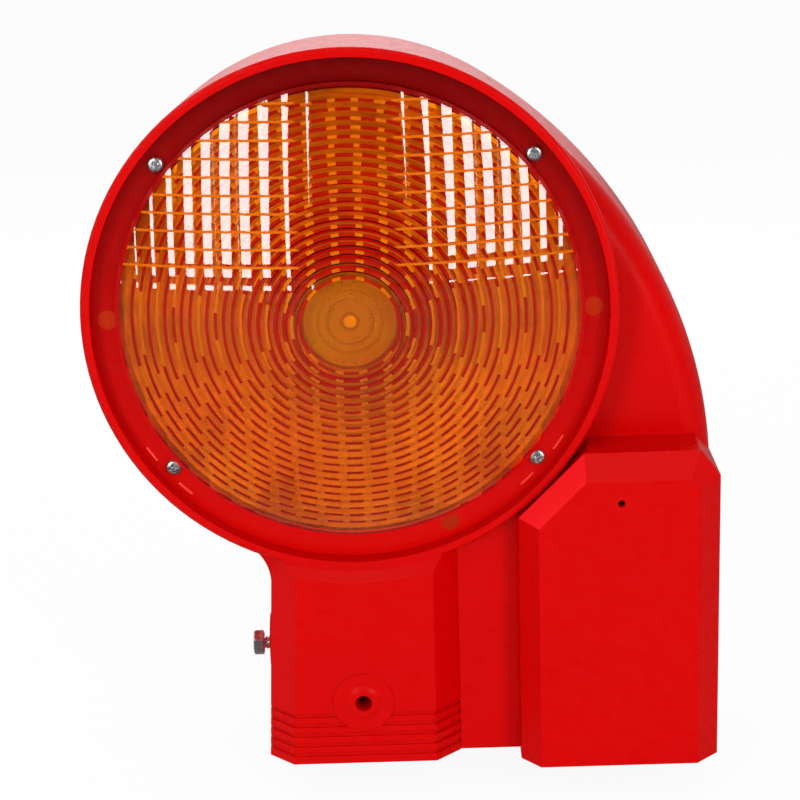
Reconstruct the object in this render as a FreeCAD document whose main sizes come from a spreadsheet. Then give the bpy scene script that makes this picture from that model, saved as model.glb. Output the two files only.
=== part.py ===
"""Roadworks warning lamp: a round amber lens in a moulded red housing with a post socket and a battery box.

Frame: +X to the right seen from the front, the front looks along -Y, +Z is up.
The origin is the centre of the post socket's mouth, on the plane that the foot and the box stand on.
"""
import FreeCAD, Part

import math
import os
import re

DRIVING_SIZES = {
    # overshoot of cuts, and overlap of forms that are joined
    "overlap": 1.0,
    # lens drum
    "axis_rise": 59.0,
    "rim_setback": 38.0,
    "rim_radius": 109.0,
    "drum_depth": 74.0,
    "drum_taper": 5.0,
    "rim_wall": 4.0,
    "rim_round": 1.6,
    "seat_depth": 14.0,
    "seat_width": 12.0,
    "seat_thickness": 6.0,
    "chamber_wall": 4.0,
    "rear_recess": 8.0,
    "rear_rim_wall": 4.0,
    "rear_seat_width": 12.0,
    "rear_seat_thickness": 5.0,
    # lens and what is clamped under it
    "lens_flange": 3.0,
    "lens_edge_gap": 0.5,
    "flange_width": 9.5,
    "dome_side": 5.0,
    "dome_rise": 18.0,
    "lens_wall": 3.0,
    "eye_radius": 19.0,
    "ring_pitch": 3.4,
    "ring_step": 0.9,
    "gasket_thickness": 1.8,
    "reflector_sheet": 1.2,
    "dish_bow": 4.4,
    "lens_screw_angle": 40.14,
    "screw_shank": 2.0,
    "screw_head": 3.2,
    "screw_head_top": 2.3,
    "screw_head_rise": 2.4,
    "lens_screw_length": 15.0,
    "screw_boss": 5.2,
    "peg_radius": 4.0,
    "peg_length": 6.5,
    "hole_clearance": 0.3,
    # rear cover
    "cover_plate": 3.0,
    "rear_spigot": 4.0,
    "rear_screw_inset": 5.5,
    "rear_screw_length": 9.0,
    # light source
    "holder_flange_radius": 32.0,
    "holder_flange": 4.0,
    "holder_radius": 22.0,
    "holder_wall": 2.8,
    "board_plane": 2.0,
    "holder_rim": 13.0,
    "led_board_sheet": 1.6,
    "led_size": 5.0,
    "led_height": 1.6,
    "optic_flange": 2.0,
    "optic_gap": 1.2,
    "optic_root": 6.0,
    "holder_screw_length": 7.0,
    "small_screw": 1.5,
    "small_head": 2.8,
    "small_head_top": 2.0,
    "small_head_rise": 2.0,
    # foot and post socket
    "foot_half_width": 41.0,
    "foot_rise": 4.0,
    "foot_bevel": 10.5,
    "foot_draft": 0.0463,
    "foot_blend": 20.0,
    "web_setback": 11.0,
    "socket_radius": 21.5,
    "socket_square": 41.0,
    "socket_roof": 10.0,
    "fixing_height": 28.0,
    "fixing_radius": 3.5,
    "fixing_pad": 13.0,
    "fixing_pad_rise": 0.4,
    "collar_radius": 7.5,
    "collar_top": 5.6,
    "collar_rise": 1.0,
    "groove_count": 5.0,
    "groove_first": 3.4,
    "groove_pitch": 4.5,
    "groove_width": 1.8,
    "groove_depth": 0.6,
    # clamp bolt
    "bolt_height": 39.0,
    "bolt_radius": 3.0,
    "bolt_head_flats": 10.0,
    "bolt_head_rise": 4.5,
    "bolt_gap": 3.1,
    "bolt_clearance": 0.3,
    "boss_radius": 13.0,
    "boss_rise": 1.2,
    "nut_cover": 2.0,
    "nut_flats": 10.0,
    "nut_thickness": 5.0,
    "pad_gap": 0.5,
    "pad_thickness": 3.0,
    "pad_recess": 0.5,
    "pad_seat": 2.0,
    "pad_running_gap": 0.05,
    # curved shoulder and battery box
    "ring_cut": 29.36,
    "headroom": 6.4,
    "case_wall": 4.8,
    "case_back_wall": 4.5,
    "corner_cut_x": 8.0,
    "corner_cut_z": 11.0,
    "ring_clearance": 0.5,
    "shoulder_radius": 199.0,
    "shoulder_drop": 81.3,
    "shoulder_front": 20.0,
    "shoulder_round": 12.0,
    "shoulder_wall": 4.8,
    "shoulder_lap": 53.0,
    "shoulder_room_rise": 33.0,
    "web_pocket_wall": 4.5,
    "web_pocket_height": 66.0,
    # battery cover and its hinge
    "cover_depth": 20.3,
    "cover_bevel": 9.6,
    "cover_left_bevel": 7.8,
    "cover_ring_bevel": 5.3,
    "cover_lip": 1.5,
    "cover_lip_depth": 3.0,
    "cover_wall": 3.2,
    "cover_gap": 0.3,
    "hinge_radius": 3.0,
    "hinge_pin_radius": 1.5,
    "hinge_pin_gap": 0.05,
    "knuckle_width": 10.0,
    "knuckle_offset": 18.0,
    "knuckle_gap": 0.4,
    "pin_reach": 30.0,
    "seal_width": 1.4,
    "seal_depth": 4.0,
    "seal_gap": 0.27,
    "seal_foot": 9.0,
    "key_hole_radius": 1.5,
    "key_hole_drop": 4.8,
    # battery, contacts and electronics
    "battery_side": 67.0,
    "battery_height": 102.0,
    "battery_round": 8.0,
    "battery_floor": 7.5,
    "battery_right_gap": 1.75,
    "battery_back_gap": 1.0,
    "rib_width": 3.0,
    "rib_offset": 22.3,
    "spring_height": 11.5,
    "spring_base": 7.0,
    "spring_top": 4.0,
    "spring_wire": 0.6,
    "spring_turns": 3.0,
    "terminal_offset": 20.0,
    "contact_side": 15.0,
    "contact_sheet": 0.8,
    "carrier_sheet": 3.0,
    "carrier_left": 20.0,
    "carrier_right": 28.0,
    "carrier_back_left": 11.0,
    "carrier_reach": 53.5,
    "carrier_back_rise": 17.0,
    "standoff": 3.0,
    "standoff_radius": 4.0,
    "carrier_screw_left": 6.0,
    "carrier_screw_right": 22.0,
    "carrier_screw_drop": 5.0,
    "carrier_screw_length": 6.5,
    "board_width": 18.0,
    "board_height": 33.0,
    "board_gap": 7.2,
    "board_lap": 0.5,
    "board_sheet": 1.6,
    "board_hole_inset": 4.0,
    "board_screw_length": 5.0,
    "switch_width": 12.0,
    "switch_depth": 10.0,
    "switch_height": 10.0,
    "switch_floor": 1.0,
    "plunger_radius": 2.0,
    "plunger_rise": 3.5,
    "plunger_travel": 2.0,
    "plunger_gap": 0.05,
}

doc = FreeCAD.newDocument("WarningLamp")
sheet = doc.addObject("Spreadsheet::Sheet", "Sizes")
for row, (alias, number) in enumerate(DRIVING_SIZES.items(), start=1):
    sheet.set("A%d" % row, str(number))
    sheet.setAlias("A%d" % row, alias)
doc.recompute()

# Places that several pieces share, written from the driving sizes
PLACES = {
    # heights: the box fits the battery, and the lens drum stands above the box
    "battery_top": "(battery_floor + battery_height)",
    "carrier_z": "(battery_top + spring_height + contact_sheet)",
    "key_hole_height": "(carrier_z - key_hole_drop)",
    "board_base": "(carrier_z + carrier_back_rise + board_gap)",
    "case_height": "(carrier_z + carrier_sheet + headroom + case_wall)",
    "axis_height": "(case_height + axis_rise)",
    "socket_depth": "(axis_height - recess_radius - socket_roof)",
    "shoulder_centre_height": "(axis_height - shoulder_drop)",
    "shoulder_room_top": "(axis_height + shoulder_room_rise)",
    # radii about the lens axis
    "recess_radius": "(rim_radius - rim_wall)",
    "rear_radius": "(rim_radius - drum_taper)",
    "rear_recess_radius": "(rear_radius - rear_rim_wall)",
    "seat_bore": "(recess_radius - seat_width)",
    "chamber_radius": "(rear_radius - chamber_wall)",
    "rear_bore": "(rear_recess_radius - rear_seat_width)",
    "flange_radius": "(recess_radius - lens_edge_gap)",
    "dome_radius": "(flange_radius - flange_width)",
    "lens_screw_circle": "(dome_radius + screw_head + hole_clearance)",
    "rear_plate_radius": "(rear_recess_radius - lens_edge_gap)",
    "rear_screw_circle": "(rear_plate_radius - rear_screw_inset)",
    "holder_screw_circle": "((holder_radius + holder_flange_radius) / 2)",
    "optic_radius": "(holder_radius - holder_wall - optic_gap)",
    # depths
    "rim_y": "(-rim_setback)",
    "back_y": "(drum_depth - rim_setback)",
    "seat_y": "(seat_depth - rim_setback)",
    "reflector_y": "(seat_y - reflector_sheet)",
    "gasket_y": "(reflector_y - gasket_thickness)",
    "flange_y": "(gasket_y - lens_flange)",
    "rear_seat_y": "(back_y - rear_recess)",
    "rear_plate_y": "(rear_seat_y + gasket_thickness)",
    "holder_y": "(rear_plate_y - rear_spigot)",
    "rim_edge_y": "(-board_plane - holder_rim)",
    "foot_y": "(rim_y - foot_rise)",
    "pad_front": "(foot_y - fixing_pad_rise)",
    "collar_face": "(pad_front - collar_rise)",
    "web_y": "(foot_y + web_setback)",
    "case_back_y": "(back_y - case_back_wall)",
    "cover_y": "(web_y - cover_gap)",
    "cover_face": "(cover_y - cover_depth)",
    "hinge_y": "(cover_y - hinge_radius)",
    "hinge_z": "(hinge_radius)",
    "battery_back_y": "(case_back_y - battery_back_gap)",
    "battery_y": "(battery_back_y - battery_side / 2)",
    "standoff_y": "(case_back_y - standoff)",
    "board_y": "(standoff_y - board_sheet)",
    "carrier_y": "(standoff_y - carrier_sheet)",
    # places across: the box's cut corner runs along the drum, and the battery clears that corner
    "case_left": "((rim_radius + ring_clearance) * sqrt(2) - axis_rise - ring_cut)",
    "corner_reach": "(cover_wall + seal_width + seal_gap)",
    "battery_left": "(case_left + ring_cut + battery_top - case_height + sqrt(2) * corner_reach)",
    "battery_x": "(battery_left + battery_side / 2)",
    "case_right": "(battery_left + battery_side + battery_right_gap + case_wall)",
    "case_middle": "((case_left + case_right) / 2)",
    "board_left": "(rim_radius - board_lap)",
    "shoulder_start": "(rim_radius - shoulder_lap)",
    "shoulder_centre": "(case_right - shoulder_radius)",
    # the foot's left side leans in as it rises
    "blend_side": "(foot_half_width - foot_draft * socket_depth)",
    "bolt_side": "(foot_half_width - foot_draft * bolt_height)",
    # clamp
    "boss_face": "(-bolt_side - boss_rise)",
    "head_face": "(boss_face - bolt_gap)",
    "pad_radius": "(nut_flats / 2 - pad_gap)",
    "pad_face": "(-socket_radius - pad_recess)",
    "bolt_tip": "(pad_face - pad_thickness + pad_seat)",
    "nut_face": "(boss_face + nut_cover)",
}
WORD = re.compile(r"[a-z_]+[a-z0-9_]*")


def formula(text):
    """Turn names of sizes and places into an expression on the sheet's cells."""
    def spelled(match):
        name = match.group(0)
        if name in PLACES:
            return WORD.sub(spelled, PLACES[name])
        if name in DRIVING_SIZES:
            return "Sizes." + name
        return name
    return WORD.sub(spelled, str(text))


def value(text):
    """The number that a formula gives with the sheet as it is."""
    return float(sheet.evalExpression(formula(text)))


def bind(obj, sizes, place=(0, 0, 0), turn=None):
    """Bind an object's sizes and position to the sheet."""
    if turn:
        obj.Placement.Rotation = FreeCAD.Rotation(FreeCAD.Vector(*turn[0]), turn[1])
    for name, text in sizes.items():
        obj.setExpression(name, formula(text))
    for axis, text in zip("xyz", place):
        obj.setExpression("Placement.Base." + axis, formula(text))
    return obj


def block(name, low, high):
    """A box between two corners."""
    sides = zip(("Length", "Width", "Height"), low, high)
    sizes = {side: "(%s) - (%s)" % (end, start) for side, start, end in sides}
    return bind(doc.addObject("Part::Box", name), sizes, low)


TURNS = {"X": ((0, 1, 0), 90), "Y": ((1, 0, 0), -90), "Z": None}


def rod(name, radius, length, start, axis="Y"):
    """A cylinder from its start point along an axis."""
    obj = doc.addObject("Part::Cylinder", name)
    return bind(obj, {"Radius": radius, "Height": length}, start, TURNS[axis])


def taper(name, first, last, length, start, axis="Y"):
    """A cone from its start point along an axis."""
    obj = doc.addObject("Part::Cone", name)
    return bind(obj, {"Radius1": first, "Radius2": last, "Height": length}, start, TURNS[axis])


def hexagon(name, flats, length, start):
    """A six-sided prism along X, with a corner to the front."""
    obj = doc.addObject("Part::Prism", name)
    obj.Polygon = 6
    bind(obj, {"Circumradius": "(%s) / sqrt(3)" % flats, "Height": length}, start, TURNS["X"])
    half_corner = FreeCAD.Rotation(FreeCAD.Vector(0, 0, 1), 30)
    obj.Placement.Rotation = obj.Placement.Rotation.multiply(half_corner)
    return obj


def join(name, pieces):
    """Fuse several objects into one."""
    obj = doc.addObject("Part::MultiFuse", name)
    obj.Shapes = pieces
    obj.Refine = True
    return obj


def cut(name, base, tools):
    """Cut several objects from a base."""
    obj = doc.addObject("Part::Cut", name)
    obj.Base = base
    obj.Tool = tools[0] if len(tools) == 1 else join(name + "_tools", tools)
    obj.Refine = True
    return obj


def shared(name, base, tool):
    """What two objects have in common."""
    obj = doc.addObject("Part::Common", name)
    obj.Base = base
    obj.Tool = tool
    obj.Refine = True
    return obj


def group(name, pieces):
    """Several separate solids as one object."""
    obj = doc.addObject("Part::Compound", name)
    obj.Links = pieces
    return obj


def eased(name, kind, base, picks, size):
    """Round or bevel the edges of a base that pass a test."""
    doc.recompute()
    obj = doc.addObject(kind, name)
    obj.Base = base
    amount = value(size)
    chosen = [index for index, edge in enumerate(base.Shape.Edges, start=1) if picks(edge)]
    obj.Edges = [(index, amount, amount) for index in chosen]
    return obj


def feature(name, shape):
    """An object whose shape is worked out from the sheet's values."""
    obj = doc.addObject("Part::Feature", name)
    obj.Shape = shape
    return obj


def near(first, second):
    return abs(first - second) < 1e-4


def circle_at(y):
    """A test for the full circles in a plane across Y."""
    return lambda edge: edge.Closed and near(edge.CenterOfMass.y, value(y))


def spun(name, outline):
    """Turn a closed outline of (radius, y) points and arcs about the lens axis."""
    height = value("axis_height")
    edges = []
    last = outline[0]
    for step in outline[1:]:
        start = FreeCAD.Vector(last[0], last[1], height)
        end = FreeCAD.Vector(step[0], step[1], height)
        if len(step) == 4:
            edges.append(Part.Arc(start, FreeCAD.Vector(step[2], step[3], height), end).toShape())
        else:
            edges.append(Part.LineSegment(start, end).toShape())
        last = step
    face = Part.Face(Part.Wire(edges))
    return feature(name, face.revolve(FreeCAD.Vector(0, 0, height), FreeCAD.Vector(0, 1, 0), 360))


def around(angles, radius):
    """Points of a circle about the lens axis as formulas for X and Z."""
    spots = []
    for angle in angles:
        across = "(%s) * cos(%g deg)" % (radius, angle)
        up = "axis_height + (%s) * sin(%g deg)" % (radius, angle)
        spots.append((across, up))
    return spots


LENS_SCREWS = [("%s1 * lens_screw_circle * cos(lens_screw_angle * 1 deg)" % across,
                "axis_height %s lens_screw_circle * sin(lens_screw_angle * 1 deg)" % up)
               for across in "-+" for up in "-+"]
LENS_PEGS = around((0, 180, 293), "(seat_bore + flange_radius) / 2")
REAR_SCREWS = around((45, 135, 225, 315), "rear_screw_circle")
HOLDER_SCREWS = around((90, 210, 330), "holder_screw_circle")
CARRIER_SCREWS = [("case_middle " + side, "carrier_z + carrier_back_rise - carrier_screw_drop")
                  for side in ("- carrier_screw_left", "+ carrier_screw_right")]
BOARD_SCREWS = [("board_left + board_width / 2", "board_base + " + up)
                for up in ("board_hole_inset", "board_height - board_hole_inset")]


def rods_along(name, spots, radius, start, length):
    """The same rod along Y at several spots."""
    return [rod("%s_%d" % (name, index), radius, length, (across, start, up))
            for index, (across, up) in enumerate(spots)]


def drilled(name, spots, radius, start, thickness):
    """Holes along Y at several spots, which overshoot both faces of a wall."""
    return rods_along(name, spots, radius, start + " - overlap", thickness + " + 2 * overlap")


def lens_disc(name, radius, start, length):
    """A disc on the lens axis."""
    return rod(name, radius, length, (0, start, "axis_height"))


def lens_bore(name, radius, start, thickness):
    """A hole on the lens axis, which overshoots both faces of a wall."""
    return lens_disc(name, radius, start + " - overlap", thickness + " + 2 * overlap")


LARGE_SCREW = ("screw_shank", "screw_head", "screw_head_top", "screw_head_rise")
SMALL_SCREW = ("small_screw", "small_head", "small_head_top", "small_head_rise")
LARGE_WAY = "screw_shank + hole_clearance"
SMALL_WAY = "small_screw + hole_clearance"
PEG_WAY = "peg_radius + hole_clearance"


def pan_screws(name, spots, seat, length, kind, inward):
    """Pan head screws: the head stands on its seat and the shank runs inward along Y."""
    shank, head, head_top, rise = kind
    screws = []
    for index, (across, up) in enumerate(spots):
        tag = "%s_%d" % (name, index)
        if inward > 0:
            dome = taper(tag + "_head", head_top, head, rise, (across, "%s - %s" % (seat, rise), up))
            body = rod(tag + "_shank", shank, length, (across, seat, up))
        else:
            dome = taper(tag + "_head", head, head_top, rise, (across, seat, up))
            body = rod(tag + "_shank", shank, length, (across, "%s - (%s)" % (seat, length), up))
        screws.append(join(tag, [dome, body]))
    return group(name, screws)


def case_outline(y, inset, **own):
    """The battery box seen from the front, moved in by an inset: a rectangle with its upper corners cut.

    The bottom, the left side and the long cut along the lens ring may each have an inset of their own.
    """
    left, right, top = value("case_left"), value("case_right"), value("case_height")
    ring_cut = value("ring_cut")
    corners = [
        (left, 0.0),
        (right, 0.0),
        (right, top - value("corner_cut_z")),
        (right - value("corner_cut_x"), top),
        (left + ring_cut, top),
        (left, top - ring_cut),
    ]
    insets = [own.get("bottom", inset), inset, inset, inset, own.get("ring", inset), own.get("left", inset)]
    lines = []
    for index, (x, z) in enumerate(corners):
        next_x, next_z = corners[(index + 1) % len(corners)]
        length = math.hypot(next_x - x, next_z - z)
        normal = (-(next_z - z) / length, (next_x - x) / length)
        lines.append((normal, normal[0] * x + normal[1] * z + insets[index]))
    points = []
    for index, (normal, offset) in enumerate(lines):
        before, before_offset = lines[index - 1]
        spread = before[0] * normal[1] - before[1] * normal[0]
        x = (before_offset * normal[1] - offset * before[1]) / spread
        z = (before[0] * offset - normal[0] * before_offset) / spread
        points.append(FreeCAD.Vector(x, y, z))
    return Part.makePolygon(points + points[:1])


def case_prism(front, back, inset, **own):
    """The battery box's outline drawn out along Y."""
    face = Part.Face(case_outline(front, inset, **own))
    return face.extrude(FreeCAD.Vector(0, back - front, 0))


def between(outlines):
    """A solid with flat sides between two outlines whose edges run alongside each other."""
    first, last = [[corner.Point for corner in outline.OrderedVertexes] for outline in outlines]
    faces = [Part.Face(outline) for outline in outlines]
    for index, corner in enumerate(first):
        before = index - 1
        side = Part.makePolygon([first[before], corner, last[index], last[before], first[before]])
        faces.append(Part.Face(side))
    solid = Part.makeSolid(Part.makeShell(faces))
    if solid.Volume < 0:
        solid.reverse()
    return solid


def hinge_rod(name, radius, start, length):
    return rod(name, radius, length, (start, "hinge_y", "hinge_z"), "X")


def knuckle_spans():
    """Left edges of the two housing knuckles, as formulas."""
    return ["case_middle %s knuckle_offset - knuckle_width / 2" % side for side in "-+"]


def drum_outside():
    cone = taper("drum_cone", "rim_radius", "rear_radius", "drum_depth", (0, "rim_y", "axis_height"))
    return eased("drum_outside", "Part::Fillet", cone, circle_at("rim_y"), "rim_round")


def drum_inside():
    """Front recess, rear recess, bore through both seats and the chamber between them."""
    recess = lens_disc("front_recess", "recess_radius", "rim_y", "seat_depth")
    chamber_back = "rear_seat_y - rear_seat_thickness"
    bore = lens_disc("seat_bore_cut", "seat_bore", "seat_y", chamber_back + " - seat_y")
    rear_bore = lens_disc("rear_bore_cut", "rear_bore", "rim_y", "drum_depth")
    rear_recess = lens_disc("rear_recess_cut", "rear_recess_radius", "rear_seat_y", "rear_recess")
    chamber_front = "seat_y + seat_thickness"
    chamber_length = "%s - (%s)" % (chamber_back, chamber_front)
    chamber = lens_disc("chamber_cut", "chamber_radius", chamber_front, chamber_length)
    boss_length = "lens_screw_length - seat_thickness"
    bosses = rods_along("lens_boss", LENS_SCREWS, "screw_boss", chamber_front, boss_length)
    return [recess, bore, rear_bore, rear_recess, cut("chamber_room", chamber, bosses)]


def foot_prism(name, inset, low, high):
    """The foot's outline between two heights, with bevelled front edges and a leaning left side."""
    half, bevel, back = value("foot_half_width") - inset, value("foot_bevel"), value("back_y")
    front = value("foot_y") + inset
    outlines = []
    for height in (value(low), value(high)):
        left = value("foot_draft") * height - half
        corners = [(left, back), (left, front + bevel), (left + bevel, front),
                   (half - bevel, front), (half, front + bevel), (half, back), (left, back)]
        outlines.append(Part.makePolygon([FreeCAD.Vector(x, y, height) for x, y in corners]))
    return feature(name, between(outlines))


def grip_grooves():
    """Shallow grooves round the lower foot, left out on the raised pad about the fixing hole."""
    grooves = []
    outside = "foot_y - overlap"
    for index in range(int(value("groove_count"))):
        low = "groove_first + groove_pitch * %d" % index
        high = low + " + groove_width"
        ring = block("groove_ring_%d" % index, ("-foot_half_width - overlap", outside, low),
                     ("foot_half_width", "back_y", high))
        core = foot_prism("groove_core_%d" % index, value("groove_depth"), low + " - overlap",
                          high + " + overlap")
        grooves.append(cut("groove_%d" % index, ring, [core]))
    pad = rod("fixing_pad_keep", "fixing_pad", "-(foot_y) - socket_radius", (0, outside, "fixing_height"))
    return cut("grip_grooves", group("groove_set", grooves), [pad])


def foot_outside():
    """The foot under the drum, hollow-cornered where its side meets the ring, with its boss and collar."""
    foot = foot_prism("foot", 0.0, "0", "axis_height - recess_radius + rim_wall")
    centre_x = "blend_side + foot_blend"
    centre_z = "axis_height - sqrt((rim_radius + foot_blend)^2 - (%s)^2)" % centre_x
    edge_x = "blend_side + foot_blend / 2"
    top = "axis_height - sqrt(recess_radius^2 - (%s)^2)" % edge_x
    corner = block("blend_block", ("-(%s)" % edge_x, "web_y", centre_z),
                   ("-blend_side + overlap", "back_y - foot_bevel", top))
    hollow = rod("blend_hollow", "foot_blend", "drum_depth + foot_rise",
                 ("-(%s)" % centre_x, "foot_y", centre_z))
    front_cone = taper("front_blend_cone", "rim_radius + foot_rise", "rim_radius", "foot_rise",
                       (0, "foot_y", "axis_height"))
    boss = rod("bolt_boss", "boss_radius", "boss_rise + foot_draft * boss_radius + overlap",
               ("boss_face", 0, "bolt_height"), "X")
    pad = rod("fixing_boss", "fixing_pad", "fixing_pad_rise + overlap", (0, "pad_front", "fixing_height"))
    collar = taper("fixing_collar", "collar_top", "collar_radius", "collar_rise",
                   (0, "collar_face", "fixing_height"))
    trimmed = [cut("foot_trimmed", foot, [front_cone]), cut("foot_blend_piece", corner, [hollow])]
    return trimmed + [boss, pad, collar]


def foot_cuts():
    """Post socket for round and square posts, fixing hole, bolt hole with its nut channel, grooves."""
    round_post = rod("round_socket", "socket_radius", "socket_depth", (0, 0, 0), "Z")
    square_post = block("square_socket", ("-socket_square / 2", "-socket_square / 2", 0),
                        ("socket_square / 2", "socket_square / 2", "socket_depth"))
    fixing = rod("fixing_hole", "fixing_radius", "overlap - collar_face",
                 (0, "collar_face - overlap", "fixing_height"))
    bolt = rod("bolt_hole", "bolt_radius + bolt_clearance", "overlap - boss_face",
               ("boss_face - overlap", 0, "bolt_height"), "X")
    channel = hexagon("nut_channel", "nut_flats", "-(nut_face)", ("nut_face", 0, "bolt_height"))
    return [round_post, square_post, fixing, bolt, channel, grip_grooves()]


def shoulder_outside():
    """The curved wall that sweeps from the drum down to the battery box."""
    disc = rod("shoulder_disc", "shoulder_radius", "back_y + shoulder_front",
               ("shoulder_centre", "-shoulder_front", "shoulder_centre_height"))
    front_edge = circle_at("-shoulder_front")
    eased_disc = eased("shoulder_eased", "Part::Fillet", disc, front_edge, "shoulder_round")
    window = block("shoulder_window", ("shoulder_start", "-shoulder_front", "shoulder_centre_height"),
                   ("case_right", "back_y", "shoulder_centre_height + shoulder_radius"))
    return shared("shoulder", eased_disc, window)


def case_cavity():
    """Battery room and the room behind the shoulder, which open into each other."""
    wall = value("case_wall")
    room = feature("battery_room", case_prism(value("web_y"), value("case_back_y"), wall, ring=0.0))
    room_front = "-shoulder_front + shoulder_wall"
    disc = rod("shoulder_room_disc", "shoulder_radius - shoulder_wall", "drum_depth",
               ("shoulder_centre", room_front, "shoulder_centre_height"))
    window = block("shoulder_room_window", ("case_left", room_front, "shoulder_centre_height"),
                   ("case_right - shoulder_wall", "case_back_y", "shoulder_room_top"))
    drum = lens_disc("drum_keep", "rim_radius", "rim_y", "drum_depth")
    upper = cut("shoulder_room", shared("shoulder_room_full", disc, window), [drum])
    return join("case_cavity", [cut("battery_room_clear", room, [drum]), upper])


def case_inner_bosses():
    """Ribs under the battery, standoffs on the back wall and the two hinge knuckles."""
    pieces = []
    for index, side in enumerate("-+"):
        start = "battery_x %s rib_offset - rib_width / 2" % side
        pieces.append(block("battery_rib_%d" % index, (start, "web_y + hinge_radius", "case_wall / 2"),
                            (start + " + rib_width", "case_back_y + overlap", "battery_floor")))
    spots = CARRIER_SCREWS + BOARD_SCREWS
    pieces += rods_along("standoff", spots, "standoff_radius", "standoff_y", "standoff + overlap")
    for index, start in enumerate(knuckle_spans()):
        pieces.append(hinge_rod("housing_knuckle_%d" % index, "hinge_radius", start, "knuckle_width"))
        pieces.append(block("knuckle_arm_%d" % index, (start, "hinge_y", 0),
                            (start + " + knuckle_width", "web_y + hinge_radius", "2 * hinge_radius")))
    return pieces


def screw_holes():
    """Pilot holes for every screw that ends in the housing, and the sockets of the lens pegs."""
    clamped = "gasket_thickness - reflector_sheet"
    lens_depth = "lens_screw_length - lens_flange - " + clamped
    lens = drilled("lens_pilot", LENS_SCREWS, "screw_shank", "seat_y", lens_depth)
    peg_depth = "peg_length - %s + hole_clearance + overlap" % clamped
    pegs = rods_along("peg_socket", LENS_PEGS, PEG_WAY, "seat_y - overlap", peg_depth)
    rear = drilled("rear_pilot", REAR_SCREWS, "screw_shank", "rear_seat_y - rear_seat_thickness",
                   "rear_seat_thickness")
    spots = CARRIER_SCREWS + BOARD_SCREWS
    boards = rods_along("standoff_pilot", spots, "small_screw", "standoff_y - overlap",
                        "carrier_screw_length")
    pin = hinge_rod("knuckle_bore", "hinge_pin_radius", "case_left", "case_right - case_left")
    return lens + pegs + rear + boards + [pin]


def make_main_housing():
    case = feature("case_outside", case_prism(value("web_y"), value("back_y"), 0.0))
    web = block("web", ("foot_half_width - foot_bevel", "web_y", 0),
                ("case_left + overlap", "back_y", "axis_height - seat_bore / 2"))
    body = join("housing_outside", [drum_outside(), shoulder_outside(), case, web] + foot_outside())
    pocket = block("web_pocket",
                   ("foot_half_width + web_pocket_wall / 2", "web_y + web_pocket_wall", "-overlap"),
                   ("case_left - web_pocket_wall / 2", "back_y - web_pocket_wall", "web_pocket_height"))
    hollow = cut("housing_hollow", body, drum_inside() + foot_cuts() + [case_cavity(), pocket])
    filled = join("housing_filled", [hollow] + case_inner_bosses())
    return cut("main_housing", filled, screw_holes())


def dome_depth(radius, inner):
    """Y of the dome's outer or inner face at a radius from the lens axis."""
    base, rise = value("dome_radius"), value("dome_rise")
    ball = (base ** 2 + rise ** 2) / (2 * rise)
    apex = value("flange_y - dome_side - dome_rise")
    ball_inner = ball - value("lens_wall")
    if inner:
        return apex + ball - math.sqrt(ball_inner ** 2 - radius ** 2)
    return apex + ball - math.sqrt(ball ** 2 - radius ** 2)


def make_front_lens():
    """Domed lens: flange, short side wall, spherical front and stepped rings inside round a plain eye."""
    flange, side = value("flange_radius"), value("dome_radius")
    wall = value("lens_wall")
    front, back = value("flange_y"), value("gasket_y")
    inner_side = side - wall
    outline = [(0.0, dome_depth(0.0, False))]
    half_way = side / 2
    outline.append((side, dome_depth(side, False), half_way, dome_depth(half_way, False)))
    outline += [(side, front), (flange, front), (flange, back), (inner_side, back)]
    pitch, step = value("ring_pitch"), value("ring_step")
    eye = value("eye_radius")
    ring_count = int((inner_side - step - eye) / pitch) + 1
    ring_edges = [eye + pitch * index for index in range(ring_count)]
    outline.append((inner_side, dome_depth(inner_side, True)))
    for radius in reversed(ring_edges):
        outline.append((radius, dome_depth(radius, True) + step))
        outline.append((radius, dome_depth(radius, True)))
    half_eye = eye / 2
    outline.append((0.0, dome_depth(0.0, True), half_eye, dome_depth(half_eye, True)))
    outline.append(outline[0])
    shell = spun("lens_shell", outline)
    pegs = rods_along("lens_peg", LENS_PEGS, "peg_radius", "gasket_y - overlap", "peg_length + overlap")
    holes = drilled("lens_screw_way", LENS_SCREWS, LARGE_WAY, "flange_y", "lens_flange")
    clear = cut("lens_drilled", shell, holes)
    return join("front_lens", [clear] + pegs)


def make_clamped_rings():
    """The lens gasket and the dished reflector, both clamped between the lens flange and its seat."""
    seal = lens_disc("gasket_disc", "flange_radius", "gasket_y", "gasket_thickness")
    bore = lens_bore("gasket_bore", "seat_bore + hole_clearance", "gasket_y", "gasket_thickness")
    ways = drilled("gasket_screw_way", LENS_SCREWS, LARGE_WAY, "gasket_y", "gasket_thickness")
    ways += drilled("gasket_peg_way", LENS_PEGS, PEG_WAY, "gasket_y", "gasket_thickness")
    gasket = cut("lens_gasket", seal, [bore] + ways)
    front, back = value("reflector_y"), value("seat_y")
    rim, lip = value("flange_radius"), value("seat_bore - hole_clearance")
    neck, depth = value("holder_radius + hole_clearance"), value("-board_plane")
    thick = value("reflector_sheet")
    slope_r, slope_y = (lip + neck) / 2, (depth + back) / 2 + value("dish_bow")
    outline = [(rim, front), (rim, back), (lip, back), (neck, depth + thick, slope_r, slope_y + thick),
               (neck, depth), (lip - thick, front, slope_r - thick, slope_y), (rim, front)]
    dish = spun("reflector_dish", outline)
    ways = drilled("reflector_screw_way", LENS_SCREWS, LARGE_WAY, "reflector_y", "reflector_sheet")
    ways += drilled("reflector_peg_way", LENS_PEGS, PEG_WAY, "reflector_y", "reflector_sheet")
    return [gasket, cut("reflector", dish, ways)]


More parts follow.
